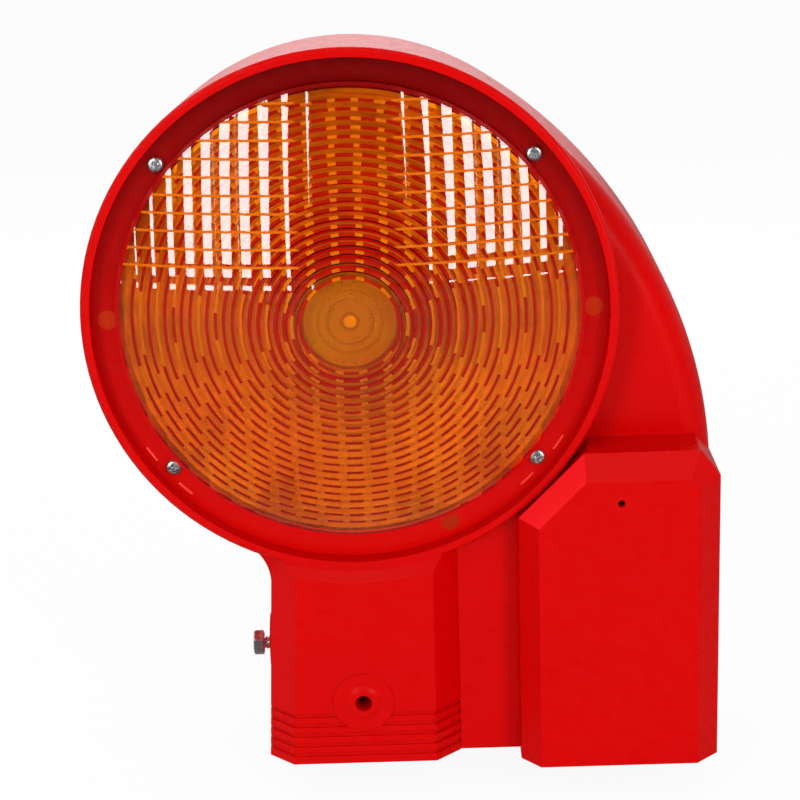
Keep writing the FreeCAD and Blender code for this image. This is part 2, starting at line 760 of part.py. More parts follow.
def make_rear_cover():
    """Blind plate in the rear recess with a spigot ring, its gasket and its four screws."""
    plate = lens_disc("rear_plate", "rear_plate_radius", "rear_plate_y", "cover_plate")
    spigot = lens_disc("rear_plug", "rear_bore - hole_clearance", "holder_y", "rear_spigot + overlap")
    hollow = lens_disc("rear_plug_hollow", "rear_bore - cover_plate", "holder_y", "rear_spigot")
    seat = lens_disc("holder_seat", "holder_flange_radius", "holder_y", "rear_spigot + overlap")
    rings = cut("rear_plug_ring", spigot, [hollow])
    ways = drilled("rear_screw_way", REAR_SCREWS, LARGE_WAY, "rear_plate_y", "cover_plate")
    pilots = drilled("holder_pilot", HOLDER_SCREWS, "small_screw", "holder_y",
                     "holder_screw_length - holder_flange")
    cover = cut("rear_cover", join("rear_cover_solid", [plate, rings, seat]), ways + pilots)
    seal = lens_disc("rear_gasket_disc", "rear_plate_radius", "rear_seat_y", "gasket_thickness")
    bore = lens_bore("rear_gasket_bore", "rear_bore + hole_clearance", "rear_seat_y", "gasket_thickness")
    ways = drilled("rear_gasket_way", REAR_SCREWS, LARGE_WAY, "rear_seat_y", "gasket_thickness")
    screws = pan_screws("rear_cover_screws", REAR_SCREWS, "rear_plate_y + cover_plate", "rear_screw_length",
                        LARGE_SCREW, -1)
    return [cover, cut("rear_gasket", seal, [bore] + ways), screws]


def make_light_source():
    """Holder on the rear cover, board and emitter in its cup, and the optic on the cup's rim."""
    cup_radius = "holder_radius - holder_wall"
    foot_y = "holder_y - holder_flange"
    flange = lens_disc("holder_base", "holder_flange_radius", foot_y, "holder_flange")
    stem = lens_disc("holder_stem", "holder_radius", "rim_edge_y", "holder_y - rim_edge_y")
    cup = lens_disc("holder_cup", cup_radius, "rim_edge_y", "holder_rim")
    core = lens_disc("holder_core", cup_radius, "-board_plane + holder_wall",
                     "holder_y + board_plane - holder_wall")
    ways = drilled("holder_screw_way", HOLDER_SCREWS, SMALL_WAY, foot_y, "holder_flange")
    holder = cut("led_holder", join("holder_solid", [flange, stem]), [cup, core] + ways)
    screws = pan_screws("holder_screws", HOLDER_SCREWS, foot_y, "holder_screw_length", SMALL_SCREW, 1)
    board_y = "-board_plane - led_board_sheet"
    board = lens_disc("led_board", cup_radius + " - hole_clearance", board_y, "led_board_sheet")
    led_y = board_y + " - led_height"
    led = block("led_emitter", ("-led_size / 2", led_y, "axis_height - led_size / 2"),
                ("led_size / 2", board_y, "axis_height + led_size / 2"))
    optic_length = led_y + " - hole_clearance - rim_edge_y"
    cone = taper("optic_cone", "optic_radius", "optic_root", optic_length, (0, "rim_edge_y", "axis_height"))
    disc = lens_disc("optic_flange_disc", "holder_radius", "rim_edge_y - optic_flange", "optic_flange")
    return [holder, screws, board, led, join("collimator_lens", [cone, disc])]


def make_battery_cover():
    """A deep cap with bevelled front edges, hung on a pin along its lower edge, and its seal.

    The bevel along the lens ring ends in a lip that stands a little way over the lens rim.
    """
    bevel, wall, over, lip = [value(size) for size in ("cover_bevel", "cover_wall", "overlap", "cover_lip")]
    left_bevel, ring_bevel = value("cover_left_bevel"), value("cover_ring_bevel")
    back, front = value("cover_y"), value("cover_face")
    edge = front + bevel
    lip_back = edge + value("cover_lip_depth")

    def inner_inset(rise):
        """Inset of the inner face behind a bevel that moves in by this much."""
        slope = rise / bevel
        return wall * (math.sqrt(1 + slope ** 2) - slope)
    outlines = [case_outline(front, bevel, bottom=0.0, left=left_bevel, ring=ring_bevel),
                case_outline(edge, 0.0, ring=-lip), case_outline(lip_back, 0.0)]
    outside = case_prism(lip_back, back, 0.0).fuse([between(outlines[:2]), between(outlines[1:])])
    inner_edge = edge + inner_inset(bevel)
    room = [case_outline(front + wall, bevel + inner_inset(bevel), bottom=wall,
                         left=left_bevel + inner_inset(left_bevel),
                         ring=ring_bevel + inner_inset(ring_bevel + lip)),
            case_outline(inner_edge, wall)]
    inside = case_prism(inner_edge, back + over, wall).fuse(between(room))
    cap = feature("cover_cap", outside.cut(inside).removeSplitter())
    heel = block("cover_heel", ("case_left - overlap", "hinge_y", "-overlap"),
                 ("case_right + overlap", "cover_y + overlap", "hinge_z"))
    roll = hinge_rod("cover_roll", "hinge_radius", "case_left", "case_right - case_left")
    body = join("cover_body", [cut("cover_trimmed", cap, [heel]), roll])
    cuts = [rod("key_hole", "key_hole_radius", "cover_bevel",
                ("case_middle", "cover_face - overlap", "key_hole_height")),
            hinge_rod("cover_bore", "hinge_pin_radius + hinge_pin_gap", "case_left - overlap",
                      "case_right - case_left + 2 * overlap")]
    for index, start in enumerate(knuckle_spans()):
        low = (start + " - knuckle_gap", "hinge_y - hinge_radius - knuckle_gap", "-overlap")
        high = (start + " + knuckle_width + knuckle_gap", "cover_y + overlap",
                "2 * hinge_radius + knuckle_gap")
        cuts.append(block("knuckle_slot_%d" % index, low, high))
    cover = cut("battery_cover", body, cuts)
    pin = hinge_rod("hinge_pin", "hinge_pin_radius", "case_middle - pin_reach", "2 * pin_reach")
    inner, start = wall + value("seal_width"), value("cover_y - seal_depth")
    ring = case_prism(start, back, wall).cut(case_prism(start - over, back + over, inner))
    foot = block("seal_foot_cut", ("case_left - overlap", "cover_face", "-overlap"),
                 ("case_right + overlap", "web_y + overlap", "seal_foot"))
    return [cover, pin, cut("cover_seal", feature("seal_ring", ring), [foot])]


def coil(name, foot):
    """A conical coil of round wire that stands on its wide end, swept in eighths of a turn."""
    wire, turns = value("spring_wire"), value("spring_turns")
    base, top = value("spring_base"), value("spring_top")
    rise = value("spring_height") - 2 * wire
    eighths = 8
    count = int(eighths * turns)
    points = []
    for share in [index / count for index in range(count + 1)]:
        radius, angle = base + (top - base) * share, 2 * math.pi * turns * share
        offset = FreeCAD.Vector(radius * math.cos(angle), radius * math.sin(angle), wire + rise * share)
        points.append(foot + offset)
    curve = Part.BSplineCurve()
    curve.interpolate(points)
    ends = [curve.parameter(point) for point in points]
    spans = [curve.toShape(start, end) for start, end in zip(ends, ends[1:])]
    section = Part.Wire(Part.makeCircle(wire, points[0], curve.tangent(ends[0])[0]))
    return feature(name, Part.Wire(spans).makePipeShell([section], True, False))


def make_battery():
    """Block battery with two coiled terminals, and the contact plates above them."""
    low = ("battery_x - battery_side / 2", "battery_back_y - battery_side", "battery_floor")
    high = ("battery_x + battery_side / 2", "battery_back_y", "battery_top")
    cell = block("battery_block", low, high)

    def upright(edge):
        return near(edge.CenterOfMass.z, value("battery_floor + battery_height / 2"))
    battery = eased("battery", "Part::Fillet", cell, upright, "battery_round")
    spots = [("battery_x", "battery_y"), ("battery_x + terminal_offset", "battery_y + terminal_offset")]
    springs, plates = [], []
    for index, (across, along) in enumerate(spots):
        foot = FreeCAD.Vector(value(across), value(along), value("battery_top"))
        springs.append(coil("terminal_%d" % index, foot))
        low = (across + " - contact_side / 2", along + " - contact_side / 2", "carrier_z - contact_sheet")
        high = (across + " + contact_side / 2", along + " + contact_side / 2", "carrier_z")
        plates.append(block("contact_%d" % index, low, high))
    return [battery, group("battery_terminals", springs), group("contact_plates", plates)]


def make_electronics():
    """Contact carrier and control board on the back wall, and the push switch behind the key hole."""
    front, right = "standoff_y - carrier_reach", "case_middle + carrier_right"
    shelf = block("carrier_shelf", ("case_middle - carrier_left", front, "carrier_z"),
                  (right, "standoff_y", "carrier_z + carrier_sheet"))
    back = block("carrier_back", ("case_middle - carrier_back_left", "carrier_y", "carrier_z"),
                 (right, "standoff_y", "carrier_z + carrier_back_rise"))
    ways = drilled("carrier_way", CARRIER_SCREWS, SMALL_WAY, "carrier_y", "carrier_sheet")
    carrier = cut("contact_carrier", join("carrier_solid", [shelf, back]), ways)
    screws = pan_screws("carrier_screws", CARRIER_SCREWS, "carrier_y", "carrier_screw_length",
                        SMALL_SCREW, 1)
    panel = block("board_panel", ("board_left", "board_y", "board_base"),
                  ("board_left + board_width", "standoff_y", "board_base + board_height"))
    ways = drilled("board_way", BOARD_SCREWS, SMALL_WAY, "board_y", "board_sheet")
    board = cut("control_board", panel, ways)
    board_screws = pan_screws("board_screws", BOARD_SCREWS, "board_y", "board_screw_length", SMALL_SCREW, 1)
    body = block("switch_block", ("case_middle - switch_width / 2", front, "carrier_z - switch_height"),
                 ("case_middle + switch_width / 2", front + " + switch_depth", "carrier_z"))
    way_depth = "switch_depth - switch_floor"
    way = rod("plunger_way", "plunger_radius + plunger_gap", way_depth,
              ("case_middle", front, "key_hole_height"))
    plunger = rod("switch_plunger", "plunger_radius",
                  "plunger_rise + %s - plunger_travel - hole_clearance" % way_depth,
                  ("case_middle", front + " - plunger_rise", "key_hole_height"))
    return [carrier, screws, board, board_screws, cut("push_switch", body, [way]), plunger]


def make_clamp():
    """Hex bolt through the boss, its nut in the foot's wall and the pad that presses on the post."""
    head = hexagon("bolt_head", "bolt_head_flats", "bolt_head_rise",
                   ("head_face - bolt_head_rise", 0, "bolt_height"))
    shank = rod("bolt_shank", "bolt_radius", "bolt_tip - (head_face)", ("head_face", 0, "bolt_height"), "X")
    bolt = join("clamp_bolt", [head, shank])
    running = "bolt_radius + pad_running_gap"
    nut_body = hexagon("nut_body", "nut_flats - hole_clearance", "nut_thickness",
                       ("nut_face", 0, "bolt_height"))
    nut_bore = rod("nut_bore", running, "nut_thickness + 2 * overlap",
                   ("nut_face - overlap", 0, "bolt_height"), "X")
    pad_back = ("pad_face - pad_thickness", 0, "bolt_height")
    pad_body = rod("pad_body", "pad_radius", "pad_thickness", pad_back, "X")
    seat = rod("pad_seat_cut", running, "pad_seat + pad_running_gap", pad_back, "X")
    return [bolt, cut("clamp_nut", nut_body, [nut_bore]), cut("clamp_pad", pad_body, [seat])]


pieces = [make_main_housing(), make_front_lens()]
pieces += make_clamped_rings()
pieces.append(pan_screws("lens_screws", LENS_SCREWS, "flange_y", "lens_screw_length", LARGE_SCREW, 1))
pieces += make_rear_cover()
pieces += make_light_source()
pieces += make_battery_cover()
pieces += make_battery()
pieces += make_electronics()
pieces += make_clamp()
for piece in pieces:
    piece.Label = piece.Name
doc.recompute()

for obj in doc.Objects:
    if "Invalid" in obj.State or "Error" in obj.State:
        raise RuntimeError("%s did not compute: %s" % (obj.Name, obj.State))
for piece in pieces:
    if piece.Shape.isNull() or not piece.Shape.isValid():
        raise RuntimeError("%s has no valid shape" % piece.Label)

os.makedirs("parts", exist_ok=True)
for piece in pieces:
    piece.Shape.exportStep(os.path.join("parts", piece.Label + ".step"))
    print("%-20s solids %d  volume %.0f" % (piece.Label, len(piece.Shape.Solids), piece.Shape.Volume))
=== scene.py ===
"""Looks of the roadworks warning lamp: amber pillow lens in a moulded red housing, on a white sweep.

Metres, in the frame of the CAD model: +X to the right seen from the front, front along -Y, +Z up.
"""

import math
from collections import namedtuple

import bmesh
import bpy
from mathutils import Matrix, Vector
from mathutils.geometry import delaunay_2d_cdt


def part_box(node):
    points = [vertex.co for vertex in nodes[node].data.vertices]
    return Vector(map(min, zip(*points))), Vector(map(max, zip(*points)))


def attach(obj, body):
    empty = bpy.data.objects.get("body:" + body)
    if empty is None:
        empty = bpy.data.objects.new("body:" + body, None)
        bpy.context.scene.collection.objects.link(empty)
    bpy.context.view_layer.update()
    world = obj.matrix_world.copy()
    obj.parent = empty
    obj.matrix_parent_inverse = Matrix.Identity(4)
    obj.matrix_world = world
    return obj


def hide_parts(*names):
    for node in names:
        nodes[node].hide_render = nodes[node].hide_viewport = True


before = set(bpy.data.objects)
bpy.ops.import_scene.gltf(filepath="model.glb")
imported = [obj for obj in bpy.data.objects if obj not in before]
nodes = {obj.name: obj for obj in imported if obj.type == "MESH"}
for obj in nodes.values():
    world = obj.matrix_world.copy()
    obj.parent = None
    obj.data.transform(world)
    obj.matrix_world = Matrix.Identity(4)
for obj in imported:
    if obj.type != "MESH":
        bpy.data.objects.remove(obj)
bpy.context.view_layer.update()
scene = bpy.context.scene
scene.view_settings.view_transform = "Standard"

AXIS_HEIGHT = 0.195
TURN = 2 * math.pi
WHITE = (1.0, 1.0, 1.0)


# Node helpers

NOISE_LOW = 0.3
NOISE_HIGH = 0.7


def principled(tree):
    return next(node for node in tree.nodes if node.type == "BSDF_PRINCIPLED")


def material_nodes(name):
    """A new material, its node tree and its Principled shader."""
    material = bpy.data.materials.new(name)
    material.use_nodes = True
    return material, material.node_tree, principled(material.node_tree)


def object_coordinates(tree):
    return tree.nodes.new("ShaderNodeTexCoord").outputs["Object"]


def coordinate(tree, place, axis):
    """One coordinate of a place or direction."""
    split = tree.nodes.new("ShaderNodeSeparateXYZ")
    tree.links.new(place, split.inputs["Vector"])
    return split.outputs[axis]


def noise(tree, scale, detail=3.0, stretch=None):
    """Noise in object space, with an optional stretch along the axes."""
    texture = tree.nodes.new("ShaderNodeTexNoise")
    texture.inputs["Scale"].default_value = scale
    texture.inputs["Detail"].default_value = detail
    place = object_coordinates(tree)
    if stretch:
        mapping = tree.nodes.new("ShaderNodeMapping")
        mapping.inputs["Scale"].default_value = stretch
        tree.links.new(place, mapping.inputs["Vector"])
        place = mapping.outputs["Vector"]
    tree.links.new(place, texture.inputs["Vector"])
    return texture.outputs["Fac"]


def ramp(tree, source, stops):
    """A colour ramp over a value; the stops are (position, colour)."""
    node = tree.nodes.new("ShaderNodeValToRGB")
    elements = node.color_ramp.elements
    while len(elements) < len(stops):
        elements.new(0.5)
    for element, (position, colour) in zip(elements, stops):
        element.position = position
        element.color = (*colour, 1.0)
    tree.links.new(source, node.inputs["Fac"])
    return node.outputs["Color"]


def rescale(tree, source, start, end, low=0.0, high=1.0):
    """A value's range from start to end, turned into one from low to high and held there outside it."""
    node = tree.nodes.new("ShaderNodeMapRange")
    node.inputs["From Min"].default_value = start
    node.inputs["From Max"].default_value = end
    node.inputs["To Min"].default_value = low
    node.inputs["To Max"].default_value = high
    tree.links.new(source, node.inputs["Value"])
    return node.outputs["Result"]


def larger(tree, first, second):
    """The larger of two values."""
    node = tree.nodes.new("ShaderNodeMath")
    node.operation = "MAXIMUM"
    tree.links.new(first, node.inputs[0])
    tree.links.new(second, node.inputs[1])
    return node.outputs["Value"]


def mix_shaders(tree, factor, first, second):
    """The first shader where the factor is 0 and the second where it is 1."""
    node = tree.nodes.new("ShaderNodeMixShader")
    tree.links.new(factor, node.inputs["Fac"])
    tree.links.new(first, node.inputs[1])
    tree.links.new(second, node.inputs[2])
    return node.outputs["Shader"]


def paint(tree, shader, source, stops):
    """Gives the shader a colour that follows a value."""
    tree.links.new(ramp(tree, source, stops), shader.inputs["Base Color"])


def tint(tree, shader, factor, plain, tinted):
    """Gives the shader a plain colour that turns into a fixed one where the factor is 1."""
    node = tree.nodes.new("ShaderNodeMix")
    node.data_type = "RGBA"
    tree.links.new(factor, node.inputs["Factor"])
    tree.links.new(plain, node.inputs["A"])
    node.inputs["B"].default_value = (*tinted, 1.0)
    tree.links.new(node.outputs["Result"], shader.inputs["Base Color"])


def roughen(tree, shader, scale, low, high):
    """Gives the shader a roughness that wanders between two levels."""
    wander = rescale(tree, noise(tree, scale), NOISE_LOW, NOISE_HIGH, low, high)
    tree.links.new(wander, shader.inputs["Roughness"])


def bump(tree, shader, height, distance, normal=None):
    node = tree.nodes.new("ShaderNodeBump")
    node.inputs["Strength"].default_value = 1.0
    node.inputs["Distance"].default_value = distance
    tree.links.new(height, node.inputs["Height"])
    if normal:
        tree.links.new(normal, node.inputs["Normal"])
    tree.links.new(node.outputs["Normal"], shader.inputs["Normal"])


def soft_edges(tree, radius):
    """Normals that are rounded along sharp edges."""
    node = tree.nodes.new("ShaderNodeBevel")
    node.samples = 4
    node.inputs["Radius"].default_value = radius
    return node.outputs["Normal"]


def pass_shadows(tree, shader):
    """Lets lamp light through the plastic; gives the material's output node."""
    clear = tree.nodes.new("ShaderNodeBsdfTransparent")
    clear.inputs["Color"].default_value = (1.0, 0.98, 0.95, 1.0)
    shadow_ray = tree.nodes.new("ShaderNodeLightPath").outputs["Is Shadow Ray"]
    mixed = mix_shaders(tree, shadow_ray, shader.outputs["BSDF"], clear.outputs["BSDF"])
    output = tree.nodes["Material Output"]
    tree.links.new(mixed, output.inputs["Surface"])
    return output


# Materials

MOULDED_EDGE = 0.0006
PLATED_EDGE = 0.0003
WRAP_EDGE = 0.0008
RED = (0.57, 0.0004, 0.0005)
RED_SHADE = (0.55, 0.0003, 0.0004)
# Painted highlight on the cover's slanting facet: its paler red, and the way the facet faces
FACET_HIGHLIGHT_RED = (0.80, 0.009, 0.012)
HIGHLIGHT_FACET_NORMAL = (-0.577, -0.577, 0.577)
# Heights between which the flange's painted shade darkens the red towards the top
FLANGE_SHADE_LEVELS = (0.0905, 0.2995)
WRAP_LEVELS = (0.0075, 0.1095)
WRAP_BLACK = (0.04, 0.04, 0.045)
WRAP_BLUE = (0.05, 0.10, 0.22)
WRAP_WHITE = (0.62, 0.62, 0.60)
WRAP_SCUFF = (0.35, 0.35, 0.36)


def moulded_plastic(name, colour, shade, roughness, grain=0.00003, specular=0.06):
    """Injection-moulded plastic: faint flow marks, fine spark-eroded grain and softened edges."""
    material, tree, shader = material_nodes(name)
    flow = noise(tree, 14.0, 4.0, (1.0, 1.0, 2.2))
    paint(tree, shader, flow, [(0.32, shade), (0.62, colour)])
    roughen(tree, shader, 160.0, roughness - 0.05, roughness + 0.06)
    shader.inputs["Specular IOR Level"].default_value = specular
    bump(tree, shader, noise(tree, 1500.0, 2.0), grain, soft_edges(tree, MOULDED_EDGE))
    return material


def plated_metal(name, bright, dark, roughness):
    """Plated or bare metal with fine marks and uneven tarnish."""
    material, tree, shader = material_nodes(name)
    shader.inputs["Metallic"].default_value = 1.0
    paint(tree, shader, noise(tree, 260.0, 5.0), [(0.3, dark), (0.65, bright)])
    roughen(tree, shader, 420.0, roughness - 0.06, roughness + 0.1)
    bump(tree, shader, noise(tree, 2500.0, 2.0), 0.00002, soft_edges(tree, PLATED_EDGE))
    return material


def rubber(name, colour, shade):
    material, tree, shader = material_nodes(name)
    paint(tree, shader, noise(tree, 220.0, 4.0), [(0.3, shade), (0.7, colour)])
    roughen(tree, shader, 500.0, 0.55, 0.75)
    shader.inputs["Specular IOR Level"].default_value = 0.3
    bump(tree, shader, noise(tree, 900.0, 3.0), 0.00005)
    return material


def bevelled_cover():
    """The cover's red plastic, with a painted highlight: paler red on the slanting facet beside the lens
    ring.
    """
    material = moulded_plastic("cover_red", RED, RED_SHADE, roughness=0.28)
    tree = material.node_tree
    shader = principled(tree)
    along = tree.nodes.new("ShaderNodeVectorMath")
    along.operation = "DOT_PRODUCT"
    along.inputs[1].default_value = HIGHLIGHT_FACET_NORMAL
    tree.links.new(tree.nodes.new("ShaderNodeTexCoord").outputs["Normal"], along.inputs[0])
    plain = shader.inputs["Base Color"].links[0].from_socket
    # Painted highlight: faces turned like the facet get the paler red
    tint(tree, shader, rescale(tree, along.outputs["Value"], 0.97, 0.99), plain, FACET_HIGHLIGHT_RED)
    return material


def amber_plastic():
    """Clear polycarbonate that is amber in its depth: thick places are deeper in colour than thin ones."""
    material, tree, shader = material_nodes("amber_lens")
    paint(tree, shader, noise(tree, 30.0), [(0.38, (0.96, 0.76, 0.14)), (0.62, (1.0, 1.0, 0.26))])
    roughen(tree, shader, 300.0, 0.015, 0.035)
    shader.inputs["Transmission Weight"].default_value = 1.0
    shader.inputs["IOR"].default_value = 1.59
    shader.inputs["Coat Weight"].default_value = 1.0
    shader.inputs["Coat Roughness"].default_value = 0.02
    shader.inputs["Coat IOR"].default_value = 1.62
    depth = tree.nodes.new("ShaderNodeVolumeAbsorption")
    depth.inputs["Color"].default_value = (0.998, 0.83, 0.0, 1.0)
    depth.inputs["Density"].default_value = 1100.0
    output = pass_shadows(tree, shader)
    tree.links.new(depth.outputs["Volume"], output.inputs["Volume"])
    return material


def flange_painted_shade():
    """The flange over its red seat, with painted shade: the red darkens towards the top, for the ring's
    shade.
    """
    material, tree, shader = material_nodes("amber_flange_painted_shade")
    level = rescale(tree, coordinate(tree, object_coordinates(tree), "Z"), *FLANGE_SHADE_LEVELS)
    # Painted shade: darker red higher up
    paint(tree, shader, level, [
        (0.0, (0.62, 0.0015, 0.001)), (0.45, (0.47, 0.001, 0.001)), (0.75, (0.33, 0.001, 0.001)),
        (1.0, (0.17, 0.001, 0.001))])
    roughen(tree, shader, 160.0, 0.22, 0.32)
    shader.inputs["Specular IOR Level"].default_value = 0.06
    bump(tree, shader, noise(tree, 1500.0, 2.0), 0.00002)
    pass_shadows(tree, shader)
    return material


def clear_plastic():
    """Clear plastic with a fine frost."""
    material, tree, shader = material_nodes("clear_optic")
    paint(tree, shader, noise(tree, 60.0), [(0.3, (0.90, 0.86, 0.84)), (0.7, (0.95, 0.92, 0.90))])
    roughen(tree, shader, 400.0, 0.26, 0.36)
    shader.inputs["Transmission Weight"].default_value = 0.45
    shader.inputs["IOR"].default_value = 1.49
    return material


def silvered_plastic():
    """Silver-coated plastic with uneven, cloudy brightness."""
    material, tree, shader = material_nodes("silver_reflector")
    paint(tree, shader, noise(tree, 42.0), [(0.38, (0.62, 0.58, 0.52)), (0.58, (1.0, 0.99, 0.97))])
    roughen(tree, shader, 160.0, 0.24, 0.36)
    shader.inputs["Specular IOR Level"].default_value = 0.9
    bump(tree, shader, noise(tree, 300.0, 2.0), 0.00004)
    return material


def battery_wrap():
    """Printed sheet wrap round a block battery: dark ends, a blue field and one pale line, with scuffs."""
    material, tree, shader = material_nodes("battery_case")
    level = rescale(tree, coordinate(tree, object_coordinates(tree), "Z"), *WRAP_LEVELS)
    bands = ramp(tree, level, [
        (0.0, WRAP_BLACK), (0.05, WRAP_BLUE), (0.62, WRAP_BLUE), (0.64, WRAP_WHITE), (0.67, WRAP_BLUE),
        (0.95, WRAP_BLACK)])
    bands.node.color_ramp.interpolation = "CONSTANT"
    scuffs = ramp(tree, noise(tree, 90.0, 8.0), [(0.66, (0.0, 0.0, 0.0)), (0.74, (0.5, 0.5, 0.5))])
    tint(tree, shader, scuffs, bands, WRAP_SCUFF)
    roughen(tree, shader, 200.0, 0.32, 0.45)
    bump(tree, shader, noise(tree, 70.0, 4.0), 0.0001, soft_edges(tree, WRAP_EDGE))
    return material


MOULDED = {
    "housing_red": dict(colour=RED, shade=RED_SHADE, roughness=0.30),
    "holder_red": dict(colour=(0.94, 0.012, 0.008), shade=(0.86, 0.009, 0.006), roughness=0.35),
    # The ribs' red, paler than the flange's, is partly a painted highlight
    "rib_red_painted_highlight": dict(colour=(0.90, 0.035, 0.016), shade=(0.82, 0.025, 0.012), roughness=0.2, specular=0.3),
    "board_green": dict(colour=(0.02, 0.16, 0.07), shade=(0.015, 0.12, 0.05), roughness=0.35, grain=0.00004),
    "emitter_yellow": dict(colour=(0.85, 0.55, 0.05), shade=(0.78, 0.48, 0.03), roughness=0.25),
    "carrier_black": dict(colour=(0.022, 0.022, 0.024), shade=(0.014, 0.014, 0.015), roughness=0.42),
    # Opaque lens faces: seams painted the lit amber's colour, riser dashes of painted shade, riser gaps of
    # painted light
    "seam_painted_lit_amber": dict(colour=(0.62, 0.13, 0.003), shade=(0.56, 0.105, 0.002), roughness=0.5, specular=0.04),
    "riser_painted_shade": dict(colour=(0.58, 0.075, 0.001), shade=(0.48, 0.055, 0.001), roughness=0.5,
                        specular=0.04),
    "riser_gap_painted_light": dict(colour=(0.98, 0.95, 0.86), shade=(0.92, 0.88, 0.78), roughness=0.3, specular=0.3),
    "amber_peg": dict(colour=(0.47, 0.022, 0.003), shade=(0.36, 0.012, 0.002), roughness=0.25),
    # Painted shade along the optic's rings
    "optic_painted_shade": dict(colour=(0.50, 0.42, 0.36), shade=(0.42, 0.35, 0.30), roughness=0.4),
    "optic_pip": dict(colour=(0.95, 0.95, 0.93), shade=(0.92, 0.92, 0.90), roughness=0.2),
}
PLATED = {
    "zinc_steel": dict(bright=(0.78, 0.79, 0.80), dark=(0.55, 0.56, 0.58), roughness=0.28),
    "spring_steel": dict(bright=(0.80, 0.72, 0.52), dark=(0.62, 0.55, 0.40), roughness=0.25),
    "board_aluminium": dict(bright=(0.88, 0.88, 0.87), dark=(0.72, 0.72, 0.71), roughness=0.40),
}
RUBBERS = {
    "seal_rubber": dict(colour=(0.035, 0.035, 0.036), shade=(0.022, 0.022, 0.023)),
    "gasket_red": dict(colour=(0.62, 0.001, 0.001), shade=(0.52, 0.001, 0.001)),
}
finishes = {
    "cover_red": bevelled_cover(),
    "amber_lens": amber_plastic(),
    "amber_flange_painted_shade": flange_painted_shade(),
    "clear_optic": clear_plastic(),
    "silver_reflector": silvered_plastic(),
    "battery_case": battery_wrap(),
}
for make, looks in ((moulded_plastic, MOULDED), (plated_metal, PLATED), (rubber, RUBBERS)):
    for name, look in looks.items():
        finishes[name] = make(name, **look)

NODE_FINISH = {
    "main_housing": "housing_red",
    "reflector": "silver_reflector",
    "lens_gasket": "gasket_red",
    "lens_screws": "zinc_steel",
    "front_lens": "amber_lens",
    "rear_cover": "cover_red",
    "rear_gasket": "seal_rubber",
    "rear_cover_screws": "zinc_steel",
    "led_holder": "holder_red",
    "holder_screws": "zinc_steel",
    "led_board": "board_aluminium",
    "led_emitter": "emitter_yellow",
    "battery_cover": "cover_red",
    "hinge_pin": "zinc_steel",
    "cover_seal": "seal_rubber",
    "battery": "battery_case",
    "battery_terminals": "spring_steel",
    "contact_plates": "spring_steel",
    "contact_carrier": "carrier_black",
    "carrier_screws": "zinc_steel",
    "control_board": "board_green",
    "board_screws": "zinc_steel",
    "push_switch": "carrier_black",
    "switch_plunger": "carrier_black",
    "clamp_bolt": "zinc_steel",
    "clamp_nut": "zinc_steel",
    "clamp_pad": "carrier_black",
}


def dress(obj, material):
    obj.data.materials.clear()
    obj.data.materials.append(material)


for name, finish in NODE_FINISH.items():
    dress(nodes[name], finishes[finish])


# Meshes

CREASE = 25.0
WELD = 1e-6
FILL_TOLERANCE = 1e-7


def circle(radius, count, centre=(0.0, 0.0)):
    return [(centre[0] + radius * math.cos(TURN * index / count),
             centre[1] + radius * math.sin(TURN * index / count)) for index in range(count)]


def around(radius, angles):
    """Spots on a circle, at angles in degrees."""
    return [(radius * math.cos(math.radians(angle)), radius * math.sin(math.radians(angle)))
            for angle in angles]


def on_axis(flat, y):
    """Points of the lens plane at a depth."""
    return [(x, y, AXIS_HEIGHT + z) for x, z in flat]


def fill_flat(loops, spots, left_open=None):
    """Triangles inside closed loops and through loose spots, without those whose middle is left open."""
    points, edges = [], []
    for loop in loops:
        first = len(points)
        points += loop
        edges += [(first + index, first + (index + 1) % len(loop)) for index in range(len(loop))]
    points += spots
    result = delaunay_2d_cdt([Vector(point) for point in points], edges, [], 1, FILL_TOLERANCE)
    flat = [tuple(point) for point in result[0]]
    faces = []
    for face in result[2]:
        middle = [sum(flat[corner][axis] for corner in face) / len(face) for axis in (0, 1)]
        if not (left_open and left_open(middle)):
            faces.append(tuple(face))
    return flat, faces


def in_circles(circles):
    """A test for points inside any of several circles, given as centre and radius."""
    return lambda point: any(math.dist(point, centre) < radius for centre, radius in circles)


class Shell:
    """Collects faces of a closed shape and welds them into one mesh."""

    def __init__(self):
        self.mesh = bmesh.new()

    def patch(self, points, faces):
        verts = [self.mesh.verts.new(point) for point in points]
        for face in faces:
            self.mesh.faces.new([verts[index] for index in face])

    def band(self, first, second):
        """A strip of quads between two closed rows of points."""
        count = len(first)
        faces = [(index, (index + 1) % count, count + (index + 1) % count, count + index)
                 for index in range(count)]
        self.patch(list(first) + list(second), faces)

    def loft(self, rows):
        """Strips through several closed rows of points."""
        for first, second in zip(rows, rows[1:]):
            self.band(first, second)

    def cap(self, row):
        self.patch(row, [tuple(range(len(row)))])

    def rod(self, rows):
        """Strips through several rows, capped at both ends."""
        self.cap(rows[0])
        self.loft(rows)
        self.cap(rows[-1])

    def finish(self, name, material, body, slot, sharp=CREASE):
        bmesh.ops.remove_doubles(self.mesh, verts=self.mesh.verts, dist=WELD)
        bmesh.ops.recalc_face_normals(self.mesh, faces=self.mesh.faces)
        data = bpy.data.meshes.new(name)
        self.mesh.to_mesh(data)
        self.mesh.free()
        data.polygons.foreach_set("use_smooth", [True] * len(data.polygons))
        data.set_sharp_from_angle(angle=math.radians(sharp))
        obj = bpy.data.objects.new(name, data)
        scene.collection.objects.link(obj)
        dress(obj, material)
        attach(obj, body)
        return obj


# Lens: a domed front of shallow pillows, stepped rings behind it, a clamped flange with pegs

